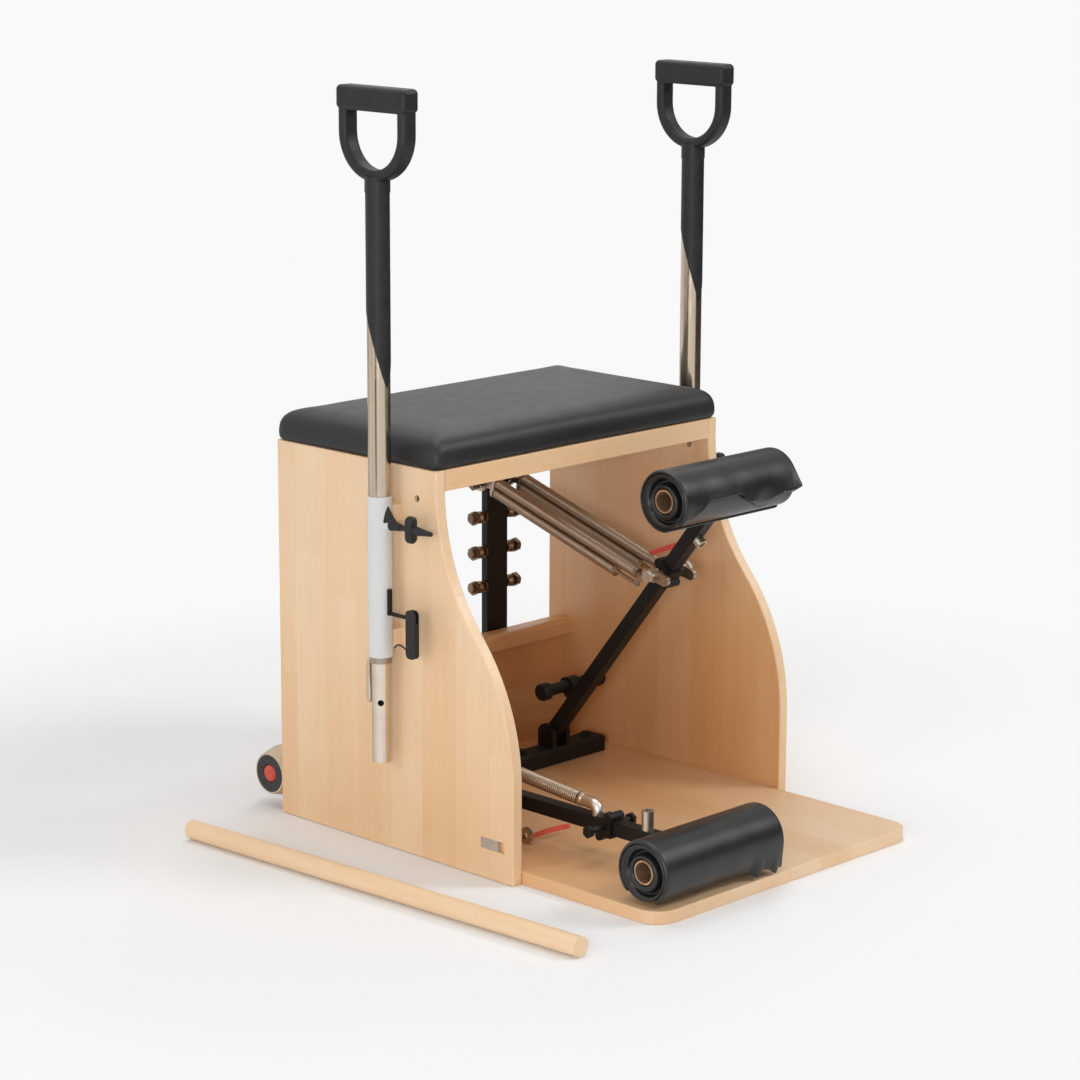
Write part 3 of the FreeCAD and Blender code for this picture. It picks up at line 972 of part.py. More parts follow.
def wheels():
    webs = []
    for side, sign in sides:
        name = side + "_wheel"
        radius, wide, ease = read("wheel_radius"), read("wheel_width"), read("wheel_ease")
        flare, flat = read("wheel_flare"), read("flare_width")
        hub, recess = read("hub_radius"), read("hub_recess")
        bore = read("axle_radius + fit_clear")
        seat = read("axle_head_radius + seat_gap")
        sunk = recess + read("axle_head")
        body = turned(name + "_turned", (0, bore), [(0, flare - ease)], [(ease, flare)], [(flat, flare)],
                      [(wide - ease, radius)], [(wide, radius - ease)], [(wide, hub)], [(wide - recess, hub)], [(wide - recess, seat)], [(wide - sunk, seat)],
                      [(wide - sunk, bore)], [(0, bore)])
        keep(name, put(body, f"{sign} * {wheel_inside}", wheel_y, "wheel_level",
                       along_z if sign > 0 else Rotation(Vector(0, 0, 1), 180)))

        # the bracket: a flange on the rear panel and a web out to the axle
        name = side + "_web"
        outer = f"({wheel_inside} - web_gap)"
        web = block(name + "_plate", "web_thick", "wheel_back + rear_inset", "web_height",
                    f"{sign} * ({outer} - web_thick / 2) - web_thick / 2", rear_back, "wheel_level - web_height / 2")
        nose = rod(name + "_nose", "web_height / 2", "web_thick",
                   f"{sign} * ({outer} - web_thick / 2) - web_thick / 2", wheel_y, "wheel_level", along_x)
        flange = block(name + "_flange", "flange_length", "web_thick", "web_height",
                       f"{sign} * ({outer} - flange_length / 2) - flange_length / 2", rear_back,
                       "wheel_level - web_height / 2")
        hole = rod(name + "_hole", "axle_radius + fit_clear", "web_thick * 4",
                   f"{sign} * {outer} - web_thick * 2", wheel_y, "wheel_level", along_x)
        screws = [rod(f"{name}_screw_{index}", "screw_radius + fit_clear", "web_thick * 4",
                      f"{sign} * ({outer} - flange_length / 2)", f"{rear_back} - web_thick", web_screw_level(share), along_y)
                  for index, share in enumerate(screw_shares)]
        webs.append(cut(name, fuse(name + "_body", web, nose, flange), hole, *screws))
    group("wheel_brackets", *webs)

    # the axle lies on +X from the web's inner face to its head in the wheel's recess
    reach = "(web_thick + web_gap + wheel_width - hub_recess - axle_head + seat_gap)"
    axle = fuse("axle",
                rod("axle_shaft", "axle_radius", reach, turn=along_x),
                rod("axle_button", "axle_head_radius", "axle_head", reach, turn=along_x),
                rod("axle_rivet", "axle_head_radius", "axle_head", "-axle_head", turn=along_x))
    flip = Rotation(Vector(0, 0, 1), 180)
    copies("wheel_axles", (axle, [
        spot(f"{sign} * ({wheel_inside} - web_gap - web_thick)", wheel_y, "wheel_level", along_z if sign > 0 else flip)
        for side, sign in sides]))


def floor_dowel():
    stick = rod("floor_dowel", "dowel_radius", "dowel_length", 0, 0, 0, along_y)
    turn = Rotation(Vector(0, 0, 1), read("dowel_turn")).multiply(along_y)
    start = turn.multVec(Vector(0, 0, -read("dowel_length / 2")))
    stick.Placement = Placement(Vector(), turn)
    bind(stick, **{"Placement.Base.x": f"{start.x} - {half} - dowel_aside",
                   "Placement.Base.y": f"{start.y} - dowel_ahead", "Placement.Base.z": "dowel_radius"})
    keep("floor_dowel", stick)


wooden_frame()
seat_cushion()
spring_posts()
pivot_blocks()
for side, sign in sides:
    pedal(side, sign)
    handle(side, sign)
working_springs()
spare_springs()
sleeves()
frame_screws()
wheels()
floor_dowel()
doc.recompute()

for item in doc.Objects:
    if {"Invalid", "Error"} & set(item.State):
        raise SystemExit(f"{item.Label} failed to build: {item.State}")
for label, item in nodes.items():
    if item.Shape.isNull() or not item.Shape.isValid() or not item.Shape.Solids:
        raise SystemExit(f"{label} has no valid solid")

os.makedirs("parts", exist_ok=True)
for label, item in nodes.items():
    item.Shape.exportStep(f"parts/{label}.step")
print(len(nodes), "nodes,", sum(len(item.Shape.Solids) for item in nodes.values()), "solids")
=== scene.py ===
import math
import bmesh
import bpy
import numpy as np
from mathutils import Matrix, Vector


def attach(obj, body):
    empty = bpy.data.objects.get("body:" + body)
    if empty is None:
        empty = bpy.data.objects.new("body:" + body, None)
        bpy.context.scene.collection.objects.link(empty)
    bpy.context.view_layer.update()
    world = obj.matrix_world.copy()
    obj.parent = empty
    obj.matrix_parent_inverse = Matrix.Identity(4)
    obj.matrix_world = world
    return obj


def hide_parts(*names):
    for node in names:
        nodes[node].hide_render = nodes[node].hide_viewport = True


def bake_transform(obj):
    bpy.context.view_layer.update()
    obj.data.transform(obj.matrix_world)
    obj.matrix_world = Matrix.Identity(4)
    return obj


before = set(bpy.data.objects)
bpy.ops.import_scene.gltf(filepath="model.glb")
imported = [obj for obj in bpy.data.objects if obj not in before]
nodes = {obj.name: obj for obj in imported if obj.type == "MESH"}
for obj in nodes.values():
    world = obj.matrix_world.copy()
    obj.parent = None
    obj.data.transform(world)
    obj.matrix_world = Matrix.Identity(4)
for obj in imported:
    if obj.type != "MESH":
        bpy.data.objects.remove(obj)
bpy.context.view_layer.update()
mm = 0.001
print("frame loaded:", len(nodes), "nodes")


# Shader wiring

class Wire:
    # an output socket of a node tree; arithmetic on it adds Math nodes
    def __init__(self, tree, socket=None):
        self.tree = tree
        self.socket = socket

    def node(self, kind, settings=None, sockets=None, out=0):
        item = self.tree.nodes.new("ShaderNode" + kind)
        for key, value in (settings or {}).items():
            setattr(item, key, value)
        for key, value in (sockets or {}).items():
            if isinstance(value, Wire):
                self.tree.links.new(value.socket, item.inputs[key])
            else:
                target = item.inputs[key]
                isColour = target.type == "RGBA" and len(value) == 3
                target.default_value = (*value, 1) if isColour else value
        return Wire(self.tree, item.outputs[out]) if len(item.outputs) else None

    def math(self, operation, *values):
        return self.node("Math", {"operation": operation}, dict(enumerate(values)))

    def __add__(self, other):
        return self.math("ADD", self, other)

    def __radd__(self, other):
        return self.math("ADD", other, self)

    def __sub__(self, other):
        return self.math("SUBTRACT", self, other)

    def __rsub__(self, other):
        return self.math("SUBTRACT", other, self)

    def __mul__(self, other):
        return self.math("MULTIPLY", self, other)

    def __truediv__(self, other):
        return self.math("DIVIDE", self, other)

    def __pow__(self, other):
        return self.math("POWER", self, other)

    def ramp(self, low, high):
        # smooth step from low to high
        settings = {"interpolation_type": "SMOOTHSTEP"}
        return self.node("MapRange", settings, {"Value": self, "From Min": low, "From Max": high})

    def wave(self):
        # the sine, moved to run from 0 to 1
        return self.math("SINE", self) * 0.5 + 0.5

    def tint(self, first, second):
        # a colour between two, with this wire as the factor
        return self.node("Mix", {"data_type": "RGBA"}, {0: self, 6: first, 7: second}, 2)


def startPaint(name):
    material = bpy.data.materials.new(name)
    material.use_nodes = True
    material.node_tree.nodes.clear()
    start = Wire(material.node_tree)
    spot = start.node("TexCoord", out=3)
    split = [start.node("SeparateXYZ", None, {0: spot}, axis) for axis in range(3)]
    return material, start, spot, split


def finishPaint(start, colour, roughness, bump, bumpDepth, bumpStrength, **constants):
    # a Principled surface with a bump; constants go straight to its own sockets
    relief = start.node("Bump", None, {"Height": bump, "Distance": bumpDepth, "Strength": bumpStrength})
    sockets = {"Base Color": colour, "Roughness": roughness, "Normal": relief}
    sockets.update({key.replace("_", " "): value for key, value in constants.items()})
    shader = start.node("BsdfPrincipled", None, sockets)
    start.node("OutputMaterial", None, {"Surface": shader})


def noise(start, place, scale, detail=3.0, rough=0.55):
    sockets = {"Vector": place, "Scale": scale, "Detail": detail, "Roughness": rough}
    return start.node("TexNoise", None, sockets)


def stretched(start, split, scales):
    # the three coordinates, each multiplied by its own scale
    parts = {index: axis * scale for index, (axis, scale) in enumerate(zip(split, scales))}
    return start.node("CombineXYZ", None, parts)


# Finishes

# colours, the size of a stave in metres, how the tone steps from one stave and length to the next, the
# scales of each noise across and along the grain, and how much of each goes into the colour
birch = {"pale": (0.84, 0.625, 0.415), "warm": (0.76, 0.47, 0.245), "line": (0.46, 0.26, 0.12),
         # the amber colour with deep, least and most sets the painted shade inside the frame
         "shadeAmber": (0.84, 0.62, 0.40), "stave": 0.066, "length": 0.31, "seam": 0.010,
         "staveStep": 2.4, "slip": 5.3, "lengthStep": 2.9, "laneStep": 5.1, "staveShare": 0.72,
         "lengthShare": 0.28, "apart": (37.0, 11.0, 23.0),
         "figure": (150.0, 4.5), "cloud": (13.0, 2.2), "pores": (900.0, 22.0), "pore": (0.60, 0.74),
         # the foot share sets the painted shade towards the floor
         "toneShare": 0.42, "figureShare": 0.55, "cloudShare": 0.95, "ground": 0.06, "lowShadeShare": 0.38,
         "lineShare": 0.22, "deep": (0.62, 0.20), "least": 0.05, "most": 0.75, "roughness": 0.42}


def grained(start, split, grain, scales):
    # coordinates with one scale across the grain and another along it
    each = [scales[0]] * 3
    each[grain] = scales[1]
    return stretched(start, split, each)


def staveTone(split, lane, grain, phase):
    # a tone from 0 to 1 for each stave, mixed with one for each length in it, and the place across the stave
    index = lane.math("FLOOR", lane)
    whole = (index * birch["staveStep"] + phase).wave()
    row = split[grain] / birch["length"] + whole * birch["slip"]
    each = (row.math("FLOOR", row) * birch["lengthStep"] + index * birch["laneStep"]).wave()
    return whole * birch["staveShare"] + each * birch["lengthShare"], lane - index


def birchPaint(name, grain, across, phase, shift=0.0, paintedShade=None, foot=None, ripe=0.0):
    # glued staves side by side and end to end, with long soft figure and fine pores along them;
    # painted shade: wood facing into the frame is warmer and darker, and so is each side panel towards the
    # floor
    material, start, spot, split = startPaint(name)
    tone, inner = staveTone(split, split[across] / birch["stave"] + shift, grain, phase)
    drift = grained(start, split, grain, birch["figure"])
    apart = stretched(start, [tone] * 3, birch["apart"])
    figure = noise(start, start.node("VectorMath", {"operation": "ADD"}, {0: drift, 1: apart}), 1.0, 4.0)
    cloud = noise(start, grained(start, split, grain, birch["cloud"]), 1.0, 2.0)
    pores = noise(start, grained(start, split, grain, birch["pores"]), 1.0, 2.0)
    pitted = pores.ramp(*birch["pore"])
    seam = 1.0 - inner.math("MINIMUM", inner, 1.0 - inner).ramp(0.0, birch["seam"])
    mix = tone * birch["toneShare"] + (figure - 0.5) * birch["figureShare"]
    mix = mix + (cloud - 0.5) * birch["cloudShare"] + (birch["ground"] + ripe)
    # painted shade: each side panel turns warmer and darker towards the floor, standing in for the light
    # falling off lower down
    if foot is not None:
        mix = mix + split[2].ramp(*foot) * birch["lowShadeShare"]
    wood = mix.math("MAXIMUM", mix, 0.0).tint(birch["pale"], birch["warm"])
    fine = pitted * birch["lineShare"] + seam * birch["lineShare"]
    colour = fine.tint(wood, birch["line"])
    # painted shade: wood facing into the frame and under the seat is multiplied towards a warmer, darker
    # colour, more so lower down
    if paintedShade is not None:
        (weightX, weightY, offset), shadeEdges = paintedShade
        far = split[0] * weightX + split[1] * weightY + offset
        far = far.math("ABSOLUTE", far)
        shadeAmount = split[2].ramp(*birch["deep"]) * (birch["most"] - birch["least"]) + birch["least"]
        for mark in shadeEdges:
            shadeAmount = shadeAmount * far.ramp(*mark)
        colour = start.node("Mix", {"data_type": "RGBA", "blend_type": "MULTIPLY"},
                            {0: shadeAmount, 6: colour, 7: birch["shadeAmber"]}, 2)
    rough = birch["roughness"] + (figure - 0.5) * 0.18 + pitted * 0.1
    finishPaint(start, colour, rough, figure * 0.4 + pores * 0.6 - seam * 0.6, 0.0004, 0.25,
                Coat_Weight=0.12, Coat_Roughness=0.25)
    return material


leather = {"cell": 820.0, "crease": 38.0, "patch": 9.0}


def leatherPaint(name, dark, light, roughness, gloss):
    # pebbled grain of small cells, soft creases and a slight drift of gloss
    material, start, spot, split = startPaint(name)
    cells = start.node("TexVoronoi", {"feature": "SMOOTH_F1"}, {"Vector": spot, "Scale": leather["cell"]})
    crease = noise(start, spot, leather["crease"], 5.0, 0.62)
    patch = noise(start, spot, leather["patch"])
    colour = (patch * 0.6 + cells * 0.5).tint(dark, light)
    rough = roughness + (crease - 0.5) * 0.16 + (patch - 0.5) * 0.10 + cells * 0.06
    finishPaint(start, colour, rough, cells * 0.35 + crease * 0.65, 0.0006, 0.32,
                Specular_IOR_Level=gloss)
    return material


coat = {"cloud": 14.0, "rub": 55.0}


def coatPaint(name, colour, worn, roughness, gloss, speckle=700.0):
    # sprayed coat: fine orange peel, cloudy gloss and a little rub-through
    material, start, spot, split = startPaint(name)
    peel = noise(start, spot, speckle, 2.0)
    cloud = noise(start, spot, coat["cloud"], 4.0)
    rub = noise(start, spot, coat["rub"], 6.0, 0.7).ramp(0.66, 0.74) * cloud.ramp(0.45, 0.62)
    shade = (rub * 0.7 + (cloud - 0.5) * 0.25 + 0.08).tint(colour, worn)
    rough = roughness + (cloud - 0.5) * 0.2 - rub * 0.1 + (peel - 0.5) * 0.1
    finishPaint(start, shade, rough, peel, 0.0003, 0.22, Specular_IOR_Level=gloss)
    return material


# scales across and along the axis of the broad bands, which are painted reflection, of the fine streaks the
# metal is drawn with, and of its clouds
drawing = {"reflectionScales": (85.0, 0.9), "fine": (600.0, 4.0), "cloud": 26.0}


def metalPaint(name, colour, tarnishAndReflection, roughness, along=None, haze=0.35, metal=1.0, grit=1.0):
    # drawn or turned metal: fine streaks along one axis with cloudy tarnish, and broad dark bands along the
    # axis that are painted reflection
    material, start, spot, split = startPaint(name)
    reflectionScales, fine = [drawing["reflectionScales"][0]] * 3, [drawing["fine"][0]] * 3
    if along is not None:
        reflectionScales[along], fine[along] = drawing["reflectionScales"][1], drawing["fine"][1]
    reflectionNoise = noise(start, stretched(start, split, reflectionScales), 1.0, 1.0)
    streak = noise(start, stretched(start, split, fine), 1.0, 3.0)
    cloud = noise(start, spot, drawing["cloud"], 4.0, 0.6)
    # painted reflection: broad dark bands round a cylinder, running along its axis; with no axis the same
    # noise is only a faint random tone
    paintedReflection = reflectionNoise.ramp(0.40, 0.62) * (0.55 if along is not None else 0.1 * grit)
    shade = (cloud.ramp(0.42, 0.72) * haze + paintedReflection + (streak - 0.5) * 0.35 * grit).tint(colour, tarnishAndReflection)
    rough = roughness + (streak - 0.5) * 0.20 * grit + cloud.ramp(0.45, 0.75) * 0.12 * grit
    finishPaint(start, shade, rough, streak, 0.0002, 0.12 * grit, Metallic=metal)
    return material


plastic = {"mark": 40.0}


def plasticPaint(name, dark, light, roughness, grain=1300.0, gloss=0.5):
    # moulded plastic: spark-eroded grain, with faint handling marks
    material, start, spot, split = startPaint(name)
    pebble = noise(start, spot, grain, 2.0)
    mark = noise(start, spot, plastic["mark"], 5.0, 0.65)
    shade = (mark.ramp(0.4, 0.75) * 0.7 + pebble * 0.25).tint(dark, light)
    rough = roughness + (mark - 0.5) * 0.2 + (pebble - 0.5) * 0.08
    finishPaint(start, shade, rough, pebble, 0.0003, 0.35, Specular_IOR_Level=gloss)
    return material


weaving = {"warp": 2600.0, "weft": 3800.0, "fade": 120.0, "red": (0.80, 0.10, 0.055),
           "deep": (0.52, 0.045, 0.03)}


def strapPaint(name):
    # woven tape: two crossed ribs
    material, start, spot, split = startPaint(name)
    warp = split[0] * weaving["warp"]
    weft = (split[1] + split[2]) * weaving["weft"]
    weave = warp.math("SINE", warp) * weft.math("SINE", weft) * 0.5 + 0.5
    fade = noise(start, spot, weaving["fade"])
    colour = (weave * 0.35 + fade * 0.5).tint(weaving["red"], weaving["deep"])
    finishPaint(start, colour, 0.78 + (fade - 0.5) * 0.2, weave, 0.0005, 0.5, Sheen_Weight=0.25)
    return material


wheelRings = {"tread": (0.58, 0.45, 0.325), "tyre": (0.018, 0.018, 0.02), "dirt": (0.10, 0.09, 0.08),
              "edge": 0.0282, "blur": 0.0004, "axis": (0.402, 0.050), "scuff": 160.0, "turned": 900.0}


def wheelPaint(name):
    # pale tread round a black side: the change is at a distance from the axle
    material, start, spot, split = startPaint(name)
    y, z = split[1] - wheelRings["axis"][0], split[2] - wheelRings["axis"][1]
    away = (y * y + z * z) ** 0.5
    rim = away.ramp(wheelRings["edge"] - wheelRings["blur"], wheelRings["edge"] + wheelRings["blur"])
    scuff = noise(start, spot, wheelRings["scuff"], 5.0, 0.65)
    scales = [wheelRings["turned"], wheelRings["turned"], 0.0]
    turned = noise(start, stretched(start, [away, split[0], split[0]], scales), 1.0, 2.0)
    colour = rim.tint(wheelRings["tyre"], wheelRings["tread"])
    colour = (scuff.ramp(0.5, 0.75) * 0.35).tint(colour, wheelRings["dirt"])
    finishPaint(start, colour, 0.5 + (scuff - 0.5) * 0.3, turned * 0.4 + scuff * 0.4, 0.0004, 0.3)
    return material


paints = {
    # painted shade: the side panels on their inner faces and towards the floor, the base board towards its
    # back and left, the rail wood at the back of the frame
    "sideWood": birchPaint("sideWood", 2, 1, 2.14, 0.0, ((1.0, 0.0, 0.0), ((0.2738, 0.2728),)), (0.42, 0.04)),
    "boardWood": birchPaint("boardWood", 1, 0, 5.0, 0.0, ((-0.5, 1.0, 1.0), ((0.56, 1.02),))),
    "railWood": birchPaint("railWood", 0, 2, 9.0, 0.35, ((0.0, 1.0, 0.0), ((0.24, 0.30), (0.349, 0.345))),
                           None, 0.52),
    "dowelWood": birchPaint("dowelWood", 1, 2, 13.0, 0.5),
    "seatLeather": leatherPaint("seatLeather", (0.0075, 0.0078, 0.0085), (0.016, 0.0162, 0.017), 0.45, 0.42),
    "padLeather": leatherPaint("padLeather", (0.0065, 0.0067, 0.007), (0.013, 0.0132, 0.0135), 0.34, 0.52),
    # a lighter copy of the pad leather for the roll's uncovered underside: the lighter colour is painted
    # reflection of the bright floor
    "rollSheenLeather": leatherPaint("rollSheenLeather", (0.016, 0.016, 0.016), (0.040, 0.039, 0.037), 0.33, 0.55),
    "blackSteel": coatPaint("blackSteel", (0.0045, 0.0042, 0.004), (0.022, 0.019, 0.017), 0.50, 0.30),
    "whiteSteel": coatPaint("whiteSteel", (0.63, 0.635, 0.64), (0.52, 0.525, 0.53), 0.14, 1.0, 500.0),
    "poleSteel": metalPaint("poleSteel", (0.58, 0.48, 0.38), (0.20, 0.14, 0.095), 0.17, 2, 0.12),
    "rodSteel": metalPaint("rodSteel", (0.76, 0.67, 0.56), (0.34, 0.26, 0.19), 0.14, 2, 0.15),
    "springSteel": metalPaint("springSteel", (0.46, 0.36, 0.27), (0.30, 0.22, 0.155), 0.37,
                              haze=0.05, grit=0.1),
    "brightSteel": metalPaint("brightSteel", (0.70, 0.63, 0.54), (0.42, 0.35, 0.28), 0.33,
                              haze=0.10, grit=0.15),
    "bronze": metalPaint("bronze", (0.27, 0.185, 0.12), (0.09, 0.06, 0.04), 0.40, None, 0.7),
    "tubeBronze": metalPaint("tubeBronze", (0.55, 0.37, 0.23), (0.30, 0.18, 0.10), 0.38, 0, 0.4, 0.7),
    "zinc": metalPaint("zinc", (0.62, 0.60, 0.57), (0.34, 0.32, 0.30), 0.30),
    "gripPlastic": plasticPaint("gripPlastic", (0.0075, 0.0075, 0.008), (0.018, 0.018, 0.019), 0.48,
                                gloss=0.36),
    "bushMetal": metalPaint("bushMetal", (0.40, 0.33, 0.26), (0.16, 0.12, 0.09), 0.30, 2, 0.3),
    "redStrap": strapPaint("redStrap"), "wheelRubber": wheelPaint("wheelRubber"),
    "hubRed": plasticPaint("hubRed", (0.60, 0.075, 0.04), (0.45, 0.05, 0.03), 0.42, 500.0),
    "tyreBlack": plasticPaint("tyreBlack", (0.016, 0.016, 0.017), (0.035, 0.035, 0.036), 0.55, 600.0),
}
wears = {
    "sideWood": ["left_side_panel", "right_side_panel", "sleeve_brackets"], "boardWood": ["base_board"],
    "railWood": ["rear_panel", "rear_cap", "seat_deck", "joint_dowels"], "dowelWood": ["floor_dowel"],
    "blackSteel": ["spring_posts", "pivot_blocks", "clamp_brackets", "left_pedal_arm", "right_pedal_arm",
                   "left_spring_collar", "right_spring_collar", "left_cross_bar", "right_cross_bar",
                   "frame_bolts", "pivot_pins", "left_spring_pin"],
    "whiteSteel": ["handle_sleeves"], "poleSteel": ["left_pole_tube", "right_pole_tube"],
    "rodSteel": ["left_pole_rod", "right_pole_rod", "rod_clips"],
    "springSteel": ["right_spring_links", "right_spring_hooks", "loose_spring_ends"],
    "brightSteel": ["parked_spring_ends", "right_spring_pin", "left_arm_stud", "right_arm_stud"],
    "bronze": ["spring_studs"], "tubeBronze": ["left_pedal_tube", "right_pedal_tube"],
    "zinc": ["frame_screws", "keeper_plates", "wheel_axles", "wheel_brackets"],
    "gripPlastic": ["left_grip_sleeve", "right_grip_sleeve", "left_d_grip", "right_d_grip",
                    "left_pull_pin", "right_pull_pin", "left_clamp_lever", "right_clamp_lever"],
    "bushMetal": ["sleeve_bushes"], "wheelRubber": ["left_wheel", "right_wheel"],
}


def wear(item, paint):
    item.data.materials.clear()
    item.data.materials.append(paints[paint])
    return item


for paint, names in wears.items():
    for name in names:
        wear(nodes[name], paint)
print("finishes made:", len(paints))


# Meshes from grids

def gridFaces(rows, columns, closed=False):
    # quads of a grid of points, counted row by row; closed joins the last column to the first
    row = np.arange(rows - 1)[:, None]
    column = np.arange(columns if closed else columns - 1)[None, :]
    here, below, after = row * columns, (row + 1) * columns, (column + 1) % columns
    return np.stack([here + column, here + after, below + after, below + column], -1).reshape(-1, 4)


def meshPiece(name, points, faces, paint, caps=()):
    mesh = bpy.data.meshes.new(name)
    loops = np.asarray(faces).tolist() + [list(cap) for cap in caps]
    mesh.from_pydata(np.asarray(points).reshape(-1, 3).tolist(), [], loops)
    mesh.validate()
    mesh.polygons.foreach_set("use_smooth", np.ones(len(mesh.polygons), bool))
    piece = bpy.data.objects.new(name, mesh)
    bpy.context.scene.collection.objects.link(piece)
    return wear(piece, paint)


def tube(path, radius, sides, normal):
    # a round section carried along a path that lies in the plane with this normal
    path = np.asarray(path, float)
    way = np.gradient(path, axis=0)
    way /= np.linalg.norm(way, axis=1)[:, None]
    side = np.cross(way, np.asarray(normal, float))
    side /= np.linalg.norm(side, axis=1)[:, None]
    rise = np.cross(side, way)
    turn = np.linspace(0, 2 * np.pi, sides, endpoint=False)
    ring = np.cos(turn)[None, :, None] * side[:, None] + np.sin(turn)[None, :, None] * rise[:, None]
    return path[:, None] + radius * ring


def shellFaces(rows, columns):
    # a thick sheet from two grids, outer then inner, closed along its four borders
    outer = gridFaces(rows, columns)
    count = rows * columns
    inner = outer[:, ::-1] + count
    grid = np.arange(count).reshape(rows, columns)
    rim = np.concatenate([grid[0], grid[1:, -1], grid[-1, -2::-1], grid[-2:0:-1, 0]])
    after = np.roll(rim, -1)
    return np.concatenate([outer, inner, np.stack([rim, rim + count, after + count, after], -1)])


def recalc(piece):
    # turn the faces outwards
    work = bmesh.new()
    work.from_mesh(piece.data)
    bmesh.ops.recalc_face_normals(work, faces=work.faces)
    work.to_mesh(piece.data)
    work.free()
    return piece


def runsPiece(name, runs, paint):
    # several tubes of points as one piece, each closed at its two ends
    points, faces, caps, count = [], [], [], 0
    for run in runs:
        rows, sides = run.shape[:2]
        points.append(run.reshape(-1, 3))
        faces.append(gridFaces(rows, sides, True) + count)
        caps.append(list(range(count, count + sides)))
        caps.append(list(range(count + (rows - 1) * sides, count + rows * sides)))
        count += rows * sides
    return recalc(meshPiece(name, np.concatenate(points), np.concatenate(faces), paint, caps))


# Springs

# the pedals' hinge line, which the parked spring and the rolls are placed from
pivot = {"y": 0.226, "z": 0.064}
twin = {"arm": 0.140, "aside": 0.0285, "pin": (-0.0033182, 0.3543673), "stud": (0.356, 0.440),
        "radius": 0.0065, "wire": 0.0015, "gap": 0.0164, "drop": 0.0201, "lift": 0.0058, "upper": 0.035,
        "lower": 0.074, "hook": 0.034}
lone = {"radius": 0.0082, "wire": 0.0018, "length": 0.280, "seat": 0.028}
winding = {"steps": 24, "sides": 8, "tight": 2.06}


def helix(start, end, radius, wire):
    # a close wound wire round the line from start to end, each turn climbing a little over its thickness
    start, end = np.asarray(start, float), np.asarray(end, float)
    axis = end - start
    length = np.linalg.norm(axis)
    axis /= length
    first = np.array([1.0, 0.0, 0.0])
    second = np.cross(axis, first)
    turns = (length - 2 * wire) / (wire * winding["tight"])
    share = np.linspace(0, 1, int(turns * winding["steps"]) + 1)
    angle = share * turns * 2 * np.pi
    out = np.cos(angle)[:, None] * first + np.sin(angle)[:, None] * second
    climb = wire + share * (length - 2 * wire)
    middle = start + climb[:, None] * axis + out * radius
    way = np.gradient(middle, axis=0)
    way /= np.linalg.norm(way, axis=1)[:, None]
    lift = np.cross(way, out)
    turn = np.linspace(0, 2 * np.pi, winding["sides"], endpoint=False)
    ring = np.cos(turn)[None, :, None] * out[:, None] + np.sin(turn)[None, :, None] * lift[:, None]
    return middle[:, None] + wire * ring


def twinFrame(x):
    # the pair's own axes at one side: from the pin, along to the stud, and down across that
    low, high = np.array([x, *twin["pin"]]), np.array([x, *twin["stud"]])
    span = np.linalg.norm(high - low)
    along = (high - low) / span
    down = np.array([0.0, along[2], -along[1]])
    start = low + down * twin["drop"]
    stop = high - down * twin["lift"]
    way = (stop - start) / np.linalg.norm(stop - start)
    under = np.array([0.0, way[2], -way[1]])
    return start, way, under, np.linalg.norm(stop - start)


runs = []
for aside in (-1, 1):
    start, way, under, span = twinFrame(twin["arm"] + aside * twin["aside"])
    for place, level in (("upper", -0.5), ("lower", 0.5)):
        line = start + under * twin["gap"] * level
        first, last = line + way * twin[place], line + way * (span - twin["hook"])
        runs.append(helix(first, last, twin["radius"], twin["wire"]))
workingSprings = runsPiece("workingSprings", runs, "springSteel")
middleStart, way, under, span = twinFrame(twin["arm"])
tuple(middleStart + way * twin["upper"])
tuple(middleStart + way * (span - twin["hook"]))
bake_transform(workingSprings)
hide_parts("right_springs")

parked = {"x": -0.140, "rest": (-0.085, 0.0473), "corner": (-0.3552, 0.024136), "reach": 0.032}
hinge = np.array([parked["x"], pivot["y"], pivot["z"]])
corner = hinge + np.array([0.0, *parked["corner"]])
rest = hinge + np.array([0.0, *parked["rest"]])
parkedWay = (rest - corner) / np.linalg.norm(rest - corner)
parkedStart = corner + parkedWay * parked["reach"]
parkedSpring = runsPiece("parkedSpring", [helix(parkedStart, parkedStart + parkedWay * lone["length"],
                                                lone["radius"], lone["wire"])], "springSteel")
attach(parkedSpring, "left_pedal")
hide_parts("parked_spring")

loose = {"eye": (-0.178, -0.028, 0.0293), "edge": (-0.178, 0.208, 0.044), "stand": 0.0103}
looseEye, looseEdge = np.array(loose["eye"]), np.array(loose["edge"])
reach = looseEdge - looseEye
rise = math.atan2(reach[2], reach[1]) + math.asin(loose["stand"] / np.linalg.norm(reach))
looseWay = np.array([0.0, math.cos(rise), math.sin(rise)])
looseStart = looseEye + looseWay * lone["seat"]
looseSpring = runsPiece("looseSpring", [helix(looseStart, looseStart + looseWay * lone["length"],
                                              lone["radius"], lone["wire"])], "springSteel")
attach(looseSpring, "chair_frame")
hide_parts("loose_spring")
print("springs wound")


# Straps

# both tabs stand on edge, slightly bowed; their routes are in mm
strap = {"width": 0.008, "thick": 0.0018, "rows": 48, "sides": 16, "flat": 0.4, "taper": 0.35, "late": 14,
         "right": ((168.8, 57.5, 367.4), (167.6, 45, 372.8), (167.2, 30, 379.0), (167.8, 16, 384.8),
                   (168.8, 3, 390.0)), "rightAcross": (0, 0.386, 0.922),
         "loose": ((-174.9, -38, 29.3), (-160, -38.5, 30.2), (-140, -39.5, 30.8), (-118, -40.5, 30.2),
                   (-103, -41, 29.0)), "looseAcross": (0, 0.1, 0.995)}


